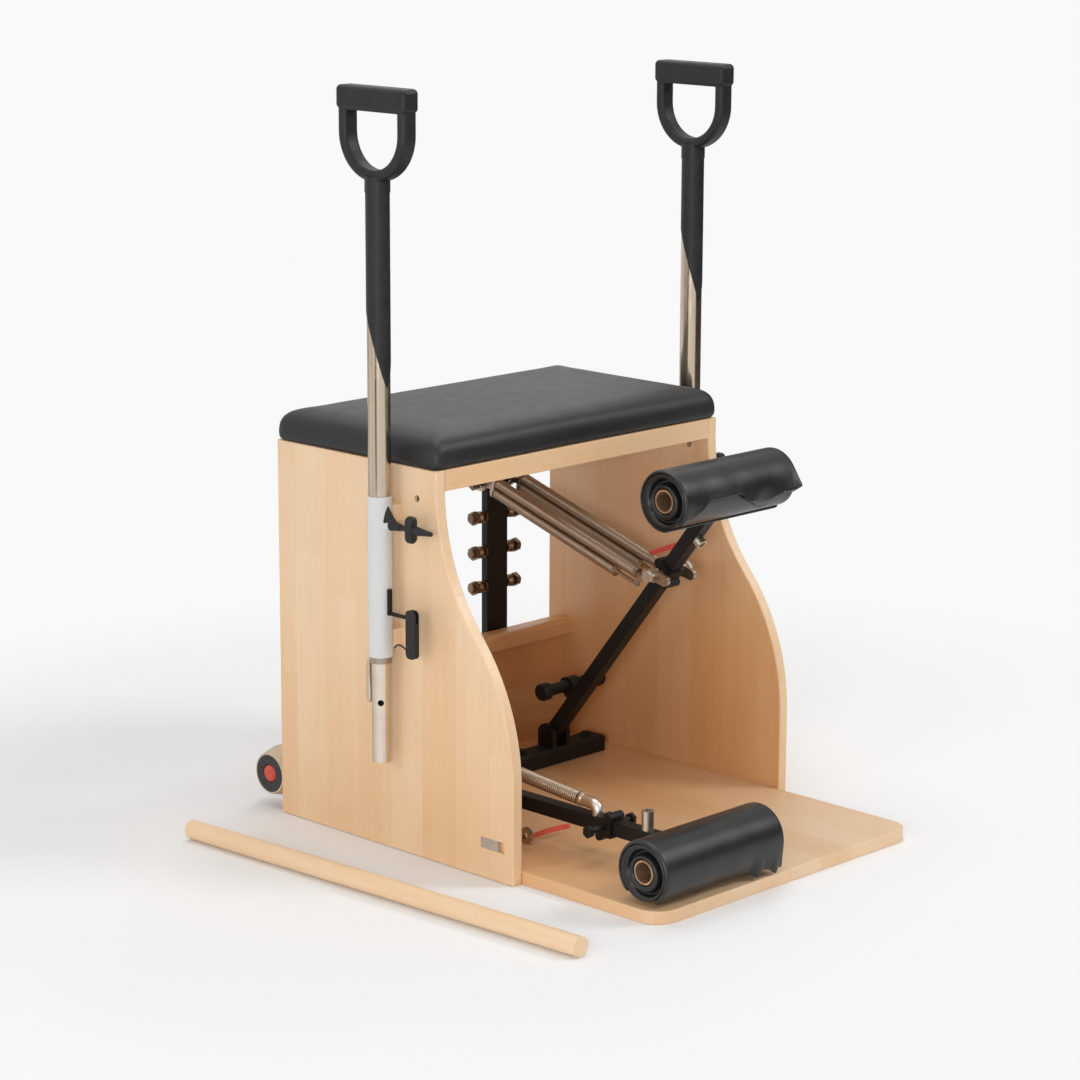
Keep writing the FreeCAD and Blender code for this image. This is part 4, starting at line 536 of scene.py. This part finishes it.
def eased(corners, count):
    # a smooth line through corner points: a cubic whose slopes come from the neighbours
    corners = np.asarray(corners, float)
    ends = np.vstack([2 * corners[0] - corners[1], corners, 2 * corners[-1] - corners[-2]])
    at = np.linspace(0, len(corners) - 1 - 1e-9, count)
    step = at.astype(int)
    part = (at - step)[:, None]
    before, here, after, beyond = [ends[step + index] for index in range(4)]
    return 0.5 * (2 * here + (after - before) * part
                  + (2 * before - 5 * here + 4 * after - beyond) * part ** 2
                  + (3 * here - before - 3 * after + beyond) * part ** 3)


def tape(path, across, width, thick):
    # a flat tape along a path: its section is a rounded strip, wide along one fixed direction
    path, across = np.asarray(path, float), np.asarray(across, float)
    way = np.gradient(path, axis=0)
    way /= np.linalg.norm(way, axis=1)[:, None]
    normal = np.cross(way, across)
    normal /= np.linalg.norm(normal, axis=1)[:, None]
    turn = np.linspace(0, 2 * np.pi, strap["sides"], endpoint=False)
    wide = np.sign(np.cos(turn)) * np.abs(np.cos(turn)) ** strap["flat"] * width / 2
    tall = np.sin(turn) * np.broadcast_to(thick, len(path))[:, None] / 2
    share = np.linspace(-1, 1, len(path))
    slim = (1 - strap["taper"] * np.abs(share) ** strap["late"])[:, None, None]
    return path[:, None] + wide[None, :, None] * across * slim + tall[:, :, None] * normal[:, None]


def strapPiece(name, corners, across, body, node):
    path = eased(np.array(corners) * mm, strap["rows"])
    piece = runsPiece(name, [tape(path, across, strap["width"], strap["thick"])], "redStrap")
    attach(piece, body)
    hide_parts(node)


strapPiece("rightPullStrap", strap["right"], strap["rightAcross"], "right_spring_low", "right_pull_tab")
strapPiece("loosePullStrap", strap["loose"], strap["looseAcross"], "chair_frame", "loose_pull_tab")
print("straps made")


# Padded pieces

swelling = {"frames": 20, "stiff": 14.0}


def puff(piece, pinned, cap, pressure, voxel=None, smooth=0):
    # swell the piece as cloth under pressure for a few frames, then move each point no further than the cap
    if voxel:
        remesh = piece.modifiers.new("remesh", "REMESH")
        remesh.mode = "VOXEL"
        remesh.voxel_size = voxel
        applyAll(piece)
    group = piece.vertex_groups.new(name="pinned")
    rest = pointsOf(piece.data)
    held = np.nonzero(pinned(rest))[0]
    group.add(held.tolist(), 1.0, "REPLACE")
    cloth = piece.modifiers.new("cloth", "CLOTH")
    cloth.settings.vertex_group_mass = "pinned"
    cloth.settings.use_pressure = True
    cloth.settings.uniform_pressure_force = pressure
    cloth.settings.tension_stiffness = swelling["stiff"]
    cloth.settings.compression_stiffness = swelling["stiff"]
    cloth.settings.effector_weights.gravity = 0
    cloth.point_cache.frame_start = 1
    cloth.point_cache.frame_end = swelling["frames"]
    scene = bpy.context.scene
    for step in range(1, swelling["frames"] + 1):
        scene.frame_set(step)
    shaped = piece.evaluated_get(bpy.context.evaluated_depsgraph_get())
    moved = pointsOf(shaped.data) - rest
    far = np.linalg.norm(moved, axis=1)[:, None]
    moved *= np.minimum(1, cap / np.maximum(far, 1e-9))
    piece.modifiers.remove(cloth)
    piece.vertex_groups.remove(group)
    piece.data.vertices.foreach_set("co", (rest + moved).ravel())
    piece.data.update()
    if smooth:
        relax = piece.modifiers.new("relax", "SMOOTH")
        relax.factor = 0.5
        relax.iterations = smooth
        applyAll(piece)
    scene.frame_set(1)
    print(piece.name, "swelled by", round(float(np.minimum(far, cap).max()) * 1000, 1), "mm at most")


def pointsOf(mesh):
    flat = np.empty(len(mesh.vertices) * 3, np.float32)
    mesh.vertices.foreach_get("co", flat)
    return flat.reshape(-1, 3).astype(float)


def applyAll(piece):
    shaped = piece.evaluated_get(bpy.context.evaluated_depsgraph_get())
    mesh = bpy.data.meshes.new_from_object(shaped)
    mesh.polygons.foreach_set("use_smooth", np.ones(len(mesh.polygons), bool))
    piece.modifiers.clear()
    piece.data = mesh


def subdivide(piece):
    finer = piece.modifiers.new("smooth", "SUBSURF")
    finer.levels = finer.render_levels = 1


# the profile gives shares of the height with the inset there in mm
seat = {"half": (0.2945, 0.1695), "middle": (0.0, 0.202), "base": 0.560, "tall": 0.0455, "corner": 0.014,
        "follow": 0.4, "leastCorner": 0.006, "draw": 0.0025, "square": 8, "arc": 14, "side": 26,
        "crown": 0.0004, "shrink": (0.6, 0.25, 0.05),
        "profile": ((0.0, 3.0), (0.04, 1.2), (0.12, 0.2), (0.25, 0.0), (0.42, 0.3), (0.56, 1.3), (0.68, 3.2),
                    (0.78, 6.0), (0.86, 9.8), (0.92, 14.6), (0.96, 21.0), (0.985, 31.0), (1.0, 46.0),
                    (1.012, 72.0), (1.02, 105.0)),
        "swell": 0.0018, "pressure": 4.0, "voxel": 0.005, "smooth": 14, "pinned": 0.004, "clear": 0.0003}


def seatOutline(inset):
    # an inset rectangle with round corners, whose sides are drawn in a little between the corners
    halfX, halfY = seat["half"][0] - inset, seat["half"][1] - inset
    radius = max(seat["corner"] - seat["follow"] * inset, seat["leastCorner"])
    arc = np.linspace(0, np.pi / 2, seat["arc"])
    corners = []
    for quarter, (signX, signY) in enumerate(((1, 1), (-1, 1), (-1, -1), (1, -1))):
        turn = arc + quarter * np.pi / 2
        corners.append(np.stack([signX * (halfX - radius) + radius * np.cos(turn),
                                 signY * (halfY - radius) + radius * np.sin(turn)], -1))
    runs = []
    for here, after in zip(corners, corners[1:] + corners[:1]):
        steps = np.linspace(0, 1, seat["side"])[1:-1, None]
        runs += [here, here[-1] + steps * (after[0] - here[-1])]
    flat = np.concatenate(runs)
    pull = seat["draw"] * np.cos(flat[:, ::-1] / (halfY, halfX) * np.pi / 2)
    edge = (np.abs(flat) / (halfX, halfY)) ** seat["square"]
    return flat - np.sign(flat) * pull * edge


def seatShape():
    # outlines stacked from the flat base over the rounded side, then shrunk to the low crown on top
    rings = [np.column_stack([seatOutline(inset * mm), np.full(len(seatOutline(0)), level * seat["tall"])])
             for level, inset in seat["profile"]]
    top = rings[-1]
    rings += [np.column_stack([top[:, :2] * share, top[:, 2] + seat["crown"] * (1 - share)])
              for share in seat["shrink"]]
    return np.array(rings) + (*seat["middle"], seat["base"])


seatPad = runsPiece("seatPad", [seatShape()], "seatLeather")
puff(seatPad, lambda spot: spot[:, 2] < seat["base"] + seat["pinned"], seat["swell"], seat["pressure"],
     seat["voxel"], seat["smooth"])
spots = pointsOf(seatPad.data)
spots[:, 2] = np.maximum(spots[:, 2], seat["base"] + seat["clear"])
seatPad.data.vertices.foreach_set("co", spots.ravel())
subdivide(seatPad)
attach(seatPad, "chair_frame")
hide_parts("seat_cushion")
print("seat padded")

# an end of the roll is a lip of radius and depth, then points beside the gap's two edges and the rim, each
# with a shift of the radius, a share of the gap's depth there and a depth added to it
roll = {"length": 0.242, "inner": 0.011, "shift": 0.008, "reach": 0.552, "lift": 51.7, "core": 0.0396,
        "bulge": 0.0003, "lip": ((0.0174, 0.016), (0.0182, 0.0030), (0.0196, 0.0012), (0.0225, 0.0008)),
        "innerEdge": ((-0.0016, 0.0, 0.0014), (-0.0002, 0.35, 0.0010), (0.0004, 1.0, 0.0)),
        "outerEdge": ((-0.0006, 1.0, 0.0), (0.0, 0.4, 0.0010), (0.0018, 0.0, 0.0010)),
        "rim": ((-0.0030, 0.0, 0.0002), (-0.0008, 0.0, 0.0006), (0.0, 0.0, 0.0020)),
        "groove": 0.0262, "shut": 0.0016, "gap": 0.0062, "shallow": 0.0015, "depth": 0.016, "widest": 150.0,
        "swell": 0.0010, "pressure": 2.0, "pinned": 0.02, "dark": 0.002, "sides": 144, "rows": 30}
# the sheet round a roll: radii, where it begins and ends in degrees, and how its edges are shaped
wrap = {"radii": (0.0399, 0.0452), "free": 230.0, "tucked": -49.0, "flare": 17, "ripple": 0.0006, "waves": 23,
        "fade": 50, "shoulder": 0.005, "round": 0.0026, "thin": 0.0016, "ease": 0.10, "hem": 0.0010,
        "room": 0.0455, "rows": 97, "columns": 120}
# the loose edge of each wrap: share along the roll, degrees of droop, and how far it stands off in mm
rightEdge = np.array([(0.0, 46, 1.5), (0.04, 44, 2), (0.11, 20, 2), (0.22, 0, 1.5), (0.47, 0, 1.5),
                      (0.57, 20, 3), (0.69, 42, 8), (0.74, 38, 8), (0.79, 20, 5), (0.86, 12, 4),
                      (0.93, 16, 9), (1.0, 8, 12)])
leftEdge = np.array([(0.0, 8, 1), (0.3, 2, 1), (0.6, 0, 1), (0.72, -4, 3), (0.79, -3, 14), (0.835, -9, 6),
                     (0.88, -7, 8), (0.935, -3, 15), (0.97, -6, 9), (1.0, -4, 12)])


def hingeTurn(points, side):
    # from the pedal's own flat frame to its place at rest: about the hinge, lifted on the right
    lift = math.radians(roll["lift"]) if side == "right" else 0.0
    cosine, sine = math.cos(lift), math.sin(lift)
    y, z = points[..., 1].copy(), points[..., 2].copy()
    out = points.copy()
    out[..., 1] = pivot["y"] + y * cosine + z * sine
    out[..., 2] = pivot["z"] - y * sine + z * cosine
    return out


def rollStart(side):
    # where the roll begins along X
    return -(roll["inner"] + roll["length"] if side == "left" else -roll["inner"]) - roll["shift"]


def rollShape(side):
    # a turned section from the tube's mouth over the end, along the roll and back; in each end a crescent
    # gap parts the rolled layers, widest towards the upper front
    low = rollStart(side)
    turn = np.linspace(0, 2 * np.pi, roll["sides"], endpoint=False)
    widest = math.radians(roll["widest"] + (roll["lift"] if side == "right" else 0.0))
    parted = ((1 + np.cos(turn - widest)) / 2) ** 0.8
    inner = roll["groove"] + roll["shut"] * np.sin(turn - widest)
    outer = inner + roll["shut"] + roll["gap"] * parted
    deep = roll["shallow"] + roll["depth"] * parted ** 0.7
    core = np.full_like(turn, roll["core"])
    flat = 0 * turn
    ends = [(flat + radius, flat + depth) for radius, depth in roll["lip"]]
    for edge, places in ((inner, "innerEdge"), (outer, "outerEdge"), (core, "rim")):
        ends += [(edge + aside, deep * share + level) for aside, share, level in roll[places]]
    rings = [(radius, low + depth) for radius, depth in ends]
    rings += [(core + roll["bulge"] * np.sin(share * np.pi), flat + low + share * roll["length"])
              for share in np.linspace(0.04, 0.96, roll["rows"])]
    rings += [(radius, low + roll["length"] - depth) for radius, depth in ends[::-1]]
    points = np.array([np.stack([x, radius * np.cos(turn) - roll["reach"], radius * np.sin(turn)], -1)
                       for radius, x in rings])
    return hingeTurn(points, side)


def smoothTable(table, at):
    # a table's columns eased between its rows with a cosine step
    place = np.searchsorted(table[:, 0], at, "right").clip(1, len(table) - 1)
    before, after = table[place - 1], table[place]
    part = ((at - before[:, 0]) / (after[:, 0] - before[:, 0])).clip(0, 1)
    ease = ((1 - np.cos(part * np.pi)) / 2)[:, None]
    return before[:, 1:] + (after[:, 1:] - before[:, 1:]) * ease


def wrapShape(side):
    # a thick sheet round the roll, from its loose edge at the front over the top to its tucked edge below;
    # under the roll it stays within the room left over the base board when the pedal is down
    low = rollStart(side)
    share = np.linspace(0, 1, wrap["rows"])
    droop, stand = smoothTable(rightEdge if side == "right" else leftEdge, share).T
    free = np.radians(wrap["free"] + droop)
    tucked = math.radians(wrap["tucked"])
    part = np.linspace(0, 1, wrap["columns"])
    angle = free[:, None] + (tucked - free)[:, None] * part
    off = free[:, None] - angle
    flare = stand[:, None] * mm * np.exp(-(off / math.radians(wrap["flare"])) ** 1.5)
    ripple = wrap["ripple"] * np.sin(share * wrap["waves"])[:, None]
    ripple = ripple * np.exp(-off / math.radians(wrap["fade"]))
    x = low + roll["length"] * share[:, None] + 0 * part
    edge = np.minimum(share, 1 - share)[:, None] * roll["length"]
    shoulder = np.sqrt(np.clip(1 - (1 - np.clip(edge / wrap["shoulder"], 0, 1)) ** 2, 0, 1))
    room = wrap["room"] / np.maximum(-np.sin(angle), 0.05)
    grids = []
    for base, outer in zip(wrap["radii"][::-1], (True, False)):
        hem = wrap["hem"] * np.exp(-(off / wrap["ease"]) ** 2)
        radius = base + flare + ripple + (hem if outer else -hem * 0.5)
        radius = radius - (1 - shoulder) * (wrap["round"] if outer else 0.0)
        radius = radius - np.exp(-((angle - tucked) / wrap["ease"]) ** 2) * (wrap["thin"] if outer else 0)
        radius = np.minimum(radius, room - (wrap["radii"][1] - base))
        grids.append(np.stack([x, radius * np.cos(angle) - roll["reach"], radius * np.sin(angle)], -1))
    return [hingeTurn(grid, side) for grid in grids]


for side in ("left", "right"):
    points = rollShape(side)
    rows, columns = points.shape[:2]
    # the roll's body wears the lighter leather with painted reflection; faces near its ends get the pad
    # leather
    core = recalc(meshPiece(side + "RollCore", points, gridFaces(rows, columns, True), "rollSheenLeather"))
    low, high = points[..., 0].min(), points[..., 0].max()
    puff(core, lambda spot: (spot[:, 0] < low + roll["pinned"]) | (spot[:, 0] > high - roll["pinned"]),
         roll["swell"], roll["pressure"])
    core.data.materials.append(paints["padLeather"])
    centres = np.empty(len(core.data.polygons) * 3, np.float32)
    core.data.polygons.foreach_get("center", centres)
    ends = np.minimum(centres[::3] - low, high - centres[::3]) < roll["depth"] + roll["dark"]
    core.data.polygons.foreach_set("material_index", ends.astype(np.int32))
    subdivide(core)
    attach(core, side + "_pedal")
    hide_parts(side + "_pedal_pad")
    outer, inner = wrapShape(side)
    rows, columns = outer.shape[:2]
    cover = recalc(meshPiece(side + "RollWrap", np.concatenate([outer.reshape(-1, 3), inner.reshape(-1, 3)]),
                             shellFaces(rows, columns), "padLeather"))
    subdivide(cover)
    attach(cover, side + "_pedal")
print("rolls padded")


# Small fittings

turning = {"sides": 48, "least": 1e-5}
hub = {"x": 0.284, "y": 0.402, "z": 0.050, "wall": 0.0006, "cap": (
    (0.0, 0.0012), (0.006, 0.0011), (0.0112, 0.0004), (0.0128, -0.0008), (0.0131, -0.0024)),
    "side": ((0.0134, -0.0026), (0.0138, -0.0008), (0.0155, 0.0006), (0.0195, -0.0002), (0.0235, 0.0001),
             (0.0262, 0.0008), (0.0276, 0.0004), (0.0279, -0.0008))}


def lathe(profile, middle, sign):
    # a profile of radius and height in metres, turned round an axis along X
    turn = np.linspace(0, 2 * np.pi, turning["sides"], endpoint=False)
    radius, height = np.array(profile).T
    radius = np.maximum(radius, turning["least"])
    return np.stack([middle[0] + sign * height[:, None] + 0 * turn,
                     middle[1] + radius[:, None] * np.cos(turn),
                     middle[2] + radius[:, None] * np.sin(turn)], -1)


for name, sign in (("left", -1), ("right", 1)):
    for part, paint in (("cap", "hubRed"), ("side", "tyreBlack")):
        points = lathe(hub[part], (sign * hub["x"], hub["y"], hub["z"]), sign)
        piece = recalc(meshPiece(name + ("HubCap" if part == "cap" else "TyreSide"), points,
                                 gridFaces(*points.shape[:2], True), paint))
        wall = piece.modifiers.new("wall", "SOLIDIFY")
        wall.thickness = hub["wall"]
        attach(piece, name + "_wheel")
print("wheel caps turned")

stud = {"post": 0.140, "face": 0.022, "y": 0.356, "levels": (0.275, 0.330, 0.385, 0.440),
        "sleeve": ((0.0062, 0.0032), (0.0078, 0.0034), (0.0080, 0.0090), (0.0094, 0.0094), (0.0096, 0.0122),
                   (0.0082, 0.0126), (0.0080, 0.0168), (0.0062, 0.0172)),
        "cap": ((0.0072, 0.0272), (0.0075, 0.0284), (0.0070, 0.0296), (0.0050, 0.0302), (0.0, 0.0304))}
sleeves, caps = [], []
for post in (-1, 1):
    for facing in (-1, 1):
        for level in stud["levels"]:
            middle = (post * stud["post"] + facing * stud["face"], stud["y"], level)
            hooked = post > 0 and level == stud["levels"][-1]
            if not hooked:
                sleeves.append(lathe(stud["sleeve"], middle, facing))
                (caps if facing > 0 else sleeves).append(lathe(stud["cap"], middle, facing))
for name, runs, paint, slot in (("studSleeves", sleeves, "bronze", "bronze"),
                                ("studCaps", caps, "blackSteel", "black_steel")):
    piece = runsPiece(name, runs, paint)
    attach(piece, "chair_frame")
print("stud sleeves turned:", len(sleeves))

bolt = {"face": 0.290, "y": 0.075, "z": 0.517, "profile": (
    (0.0, -0.0040), (0.0030, -0.0041), (0.0042, -0.0046), (0.0048, -0.0056), (0.0049, -0.0080))}
piece = runsPiece("panelBolts", [lathe(bolt["profile"], (sign * bolt["face"], bolt["y"], bolt["z"]), sign)
                                 for sign in (-1, 1)], "bronze")
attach(piece, "chair_frame")

plug = {"face": 0.272, "y": 0.118, "levels": (0.310, 0.491),
        "profile": ((0.0, 0.0005), (0.0076, 0.0005), (0.0083, 0.0003), (0.0085, -0.0003))}
plugs = [lathe(plug["profile"], (sign * plug["face"], plug["y"], level), -sign)
         for sign in (-1, 1) for level in plug["levels"]]
screwPlugs = runsPiece("screwPlugs", plugs, "sideWood")
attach(screwPlugs, "chair_frame")

handle = {"x": 0.320, "pin": 0.4805}
horn = {"tip": 0.0765, "root": 0.1035, "rise": 0.026, "neck": 0.0052, "belly": 0.0040, "half": 0.0050,
        "spread": 0.0042, "pinch": 0.62, "rows": 24, "sides": 24}


def hornPiece(name, sign):
    # a curved gusset round the pull pin: oval sections whose tops fall in a curve from the sleeve to the pin
    share = np.linspace(0, 1, horn["rows"])[:, None]
    y = horn["tip"] + (horn["root"] - horn["tip"]) * share
    top = handle["pin"] + horn["neck"] + horn["rise"] * share ** 2.1
    foot = handle["pin"] - horn["neck"] - horn["belly"] * share ** 1.5
    half = horn["half"] + horn["spread"] * share ** 1.5
    turn = np.linspace(0, 2 * np.pi, horn["sides"], endpoint=False)[None]
    lift = (np.sin(turn) + 1) / 2
    narrow = 1 - horn["pinch"] * lift ** 1.5 * share
    across = sign * handle["x"] + half * np.cos(turn) * narrow
    points = np.stack([across, y + 0 * turn, foot + (top - foot) * lift], -1)
    piece = runsPiece(name, [points], "gripPlastic")
    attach(piece, "chair_frame")


# the lever's wire in Y and Z
hook = {"line": ((0.0625, 0.3085), (0.068, 0.3095), (0.075, 0.3125), (0.082, 0.3130), (0.088, 0.3100),
                 (0.0885, 0.3070)), "rows": 30, "wire": 0.0011, "sides": 10}


def hookPiece(name, sign, body):
    # a short bent wire behind the lever's lower end
    path = eased([(sign * handle["x"], y, z) for y, z in hook["line"]], hook["rows"])
    piece = runsPiece(name, [tube(path, hook["wire"], hook["sides"], (1, 0, 0))], "blackSteel")
    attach(piece, body)


# the clip's line in Y and Z, with its thickness at the same points
leaf = {"line": ((0.1322, 0.2822), (0.1356, 0.2840), (0.1392, 0.2818), (0.1410, 0.2720), (0.1415, 0.2560),
                 (0.1411, 0.2400), (0.1403, 0.2270), (0.1398, 0.2200)),
        "thick": (0.0024, 0.0032, 0.0046, 0.0066, 0.0082, 0.0086, 0.0076, 0.0040), "width": 0.0095,
        "rows": 60}
leaves = []
for name, sign in (("left", -1), ("right", 1)):
    hornPiece(name + "PinHorn", sign)
    hookPiece(name + "LeverHook", sign, name + "_clamp_lever")
    path = eased([(sign * handle["x"], y, z) for y, z in leaf["line"]], leaf["rows"])
    share = np.linspace(0, 1, leaf["rows"])
    thick = np.interp(share, np.linspace(0, 1, len(leaf["thick"])), leaf["thick"])
    leaves.append(tape(path, (1, 0, 0), leaf["width"], thick))
rodLeaves = runsPiece("rodLeaves", leaves, "rodSteel")
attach(rodLeaves, "chair_frame")
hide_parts("rod_clips")
print("handle fittings made")


# Stage, light and camera

stage = {"size": 14.0, "drop": 0.0004, "points": 9, "white": (0.90, 0.90, 0.90), "shade": 0.97, "grain": 60.0,
         "fade": (0.80, 1.55), "backdrop": 0.945, "ambient": 0.43}


def seenWhite(start):
    # 1 for camera, glossy and transmission rays
    seen, shine, through = [start.node("LightPath", out=index) for index in (0, 3, 6)]
    clear = seen + shine + through
    return clear.math("MINIMUM", clear, 1.0)


def floorPaint():
    # a pale floor near the chair that turns plain white further out
    material, start, spot, split = startPaint("paleFloor")
    x, y = split[0], split[1]
    far = ((x * x + y * y) ** 0.5).ramp(*stage["fade"])
    grain = noise(start, spot, stage["grain"])
    shade = tuple(part * stage["shade"] for part in stage["white"])
    base = (grain * 0.5).tint(stage["white"], shade)
    floor = start.node("BsdfPrincipled", None, {"Base Color": base, "Roughness": 0.75 + (grain - 0.5) * 0.1,
                                                "Specular IOR Level": 0.2})
    level = stage["backdrop"]
    glow = start.node("Emission", None, {"Color": (level, level, level), "Strength": 1.0})
    mix = start.node("MixShader", None, {0: far * seenWhite(start), 1: floor, 2: glow})
    start.node("OutputMaterial", None, {"Surface": mix})
    return material


paints["paleFloor"] = floorPaint()
count = stage["points"]
edge = np.linspace(-stage["size"], stage["size"], count)
points = np.stack([*np.meshgrid(edge, edge, indexing="ij"), np.full((count, count), -stage["drop"])], -1)
floor = meshPiece("paleFloor", points, gridFaces(count, count)[:, ::-1], "paleFloor")

world = bpy.data.worlds.new("studio")
bpy.context.scene.world = world
world.use_nodes = True
world.node_tree.nodes.clear()
sky = Wire(world.node_tree)
strength = stage["ambient"] + seenWhite(sky) * (stage["backdrop"] - stage["ambient"])
glow = sky.node("Background", None, {"Color": (1.0, 1.0, 1.0), "Strength": strength})
sky.node("OutputWorld", None, {"Surface": glow})


# each lamp's place, what it is aimed at, the side of its square and its power
lamps = {"sideBox": ((-3.2, -0.35, 1.15), (0, 0.1, 0.40), 1.5, 21),
         "crossBox": ((2.3, -2.6, 2.9), (0, 0.05, 0.30), 1.3, 60),
         "topBox": ((0.1, 0.45, 3.3), (0, 0.1, 0.4), 2.2, 32),
         "frontBox": ((-3.0, -2.2, 1.05), (0, 0.05, 0.38), 0.6, 30),
         "rearBox": ((2.5, 1.5, 2.3), (0, 0.0, 0.45), 1.2, 14)}


def softBox(name, place, aim, side, power):
    light = bpy.data.lights.new(name, "AREA")
    light.shape = "RECTANGLE"
    light.size = light.size_y = side
    light.energy = power
    lamp = bpy.data.objects.new(name, light)
    lamp.location = place
    lamp.rotation_euler = (Vector(aim) - Vector(place)).to_track_quat("-Z", "Y").to_euler()
    lamp.visible_camera = False
    bpy.context.scene.collection.objects.link(lamp)


for name, settings in lamps.items():
    softBox(name, *settings)

# dark cards that only polished surfaces see, as a photographer flags chrome
cards = {"radius": 2.6, "low": 0.02, "high": 2.4, "columns": 24, "spans": ((-75, 40), (-179, -163)),
         "shade": (0.10, 0.085, 0.07)}


def cardShape(first, last):
    # an upright part of a round wall about the chair
    turn = np.radians(np.linspace(first, last, cards["columns"]))[:, None]
    level = np.array([cards["low"], cards["high"]])
    return np.stack([cards["radius"] * np.cos(turn) + 0 * level, cards["radius"] * np.sin(turn) + 0 * level,
                     level + 0 * turn], -1)


paints["darkCard"] = plasticPaint("darkCard", cards["shade"], cards["shade"], 0.9, 30.0, 0.1)
for number, span in enumerate(cards["spans"]):
    card = meshPiece("darkCard%d" % number, cardShape(*span), gridFaces(cards["columns"], 2), "darkCard")
    card.visible_camera = card.visible_diffuse = card.visible_shadow = card.visible_transmission = False

# the camera found for the photograph: its focal length is in pixels of the photograph's frame
view = {"eye": (-3.2513, -3.0571, 1.4394), "forward": (0.6973, 0.6816, -0.2219), "roll": 0.222,
        "pixels": 3196.33, "frame": 1080, "sensor": 36.0, "far": 60}
forward = Vector(view["forward"]).normalized()
right = forward.cross(Vector((0, 0, 1))).normalized()
up = right.cross(forward)
cosine, sine = math.cos(math.radians(view["roll"])), math.sin(math.radians(view["roll"]))
axes = (right * cosine + up * sine, up * cosine - right * sine, -forward)
lens = bpy.data.cameras.new("photoCamera")
lens.sensor_fit = "HORIZONTAL"
lens.sensor_width = view["sensor"]
lens.lens = view["sensor"] * view["pixels"] / view["frame"]
lens.clip_end = view["far"]
camera = bpy.data.objects.new("photoCamera", lens)
camera.matrix_world = Matrix.Translation(view["eye"]) @ Matrix(axes).transposed().to_4x4()
bpy.context.scene.collection.objects.link(camera)
bpy.context.scene.camera = camera
bpy.context.scene.view_settings.view_transform = "Standard"
print("stage lit")
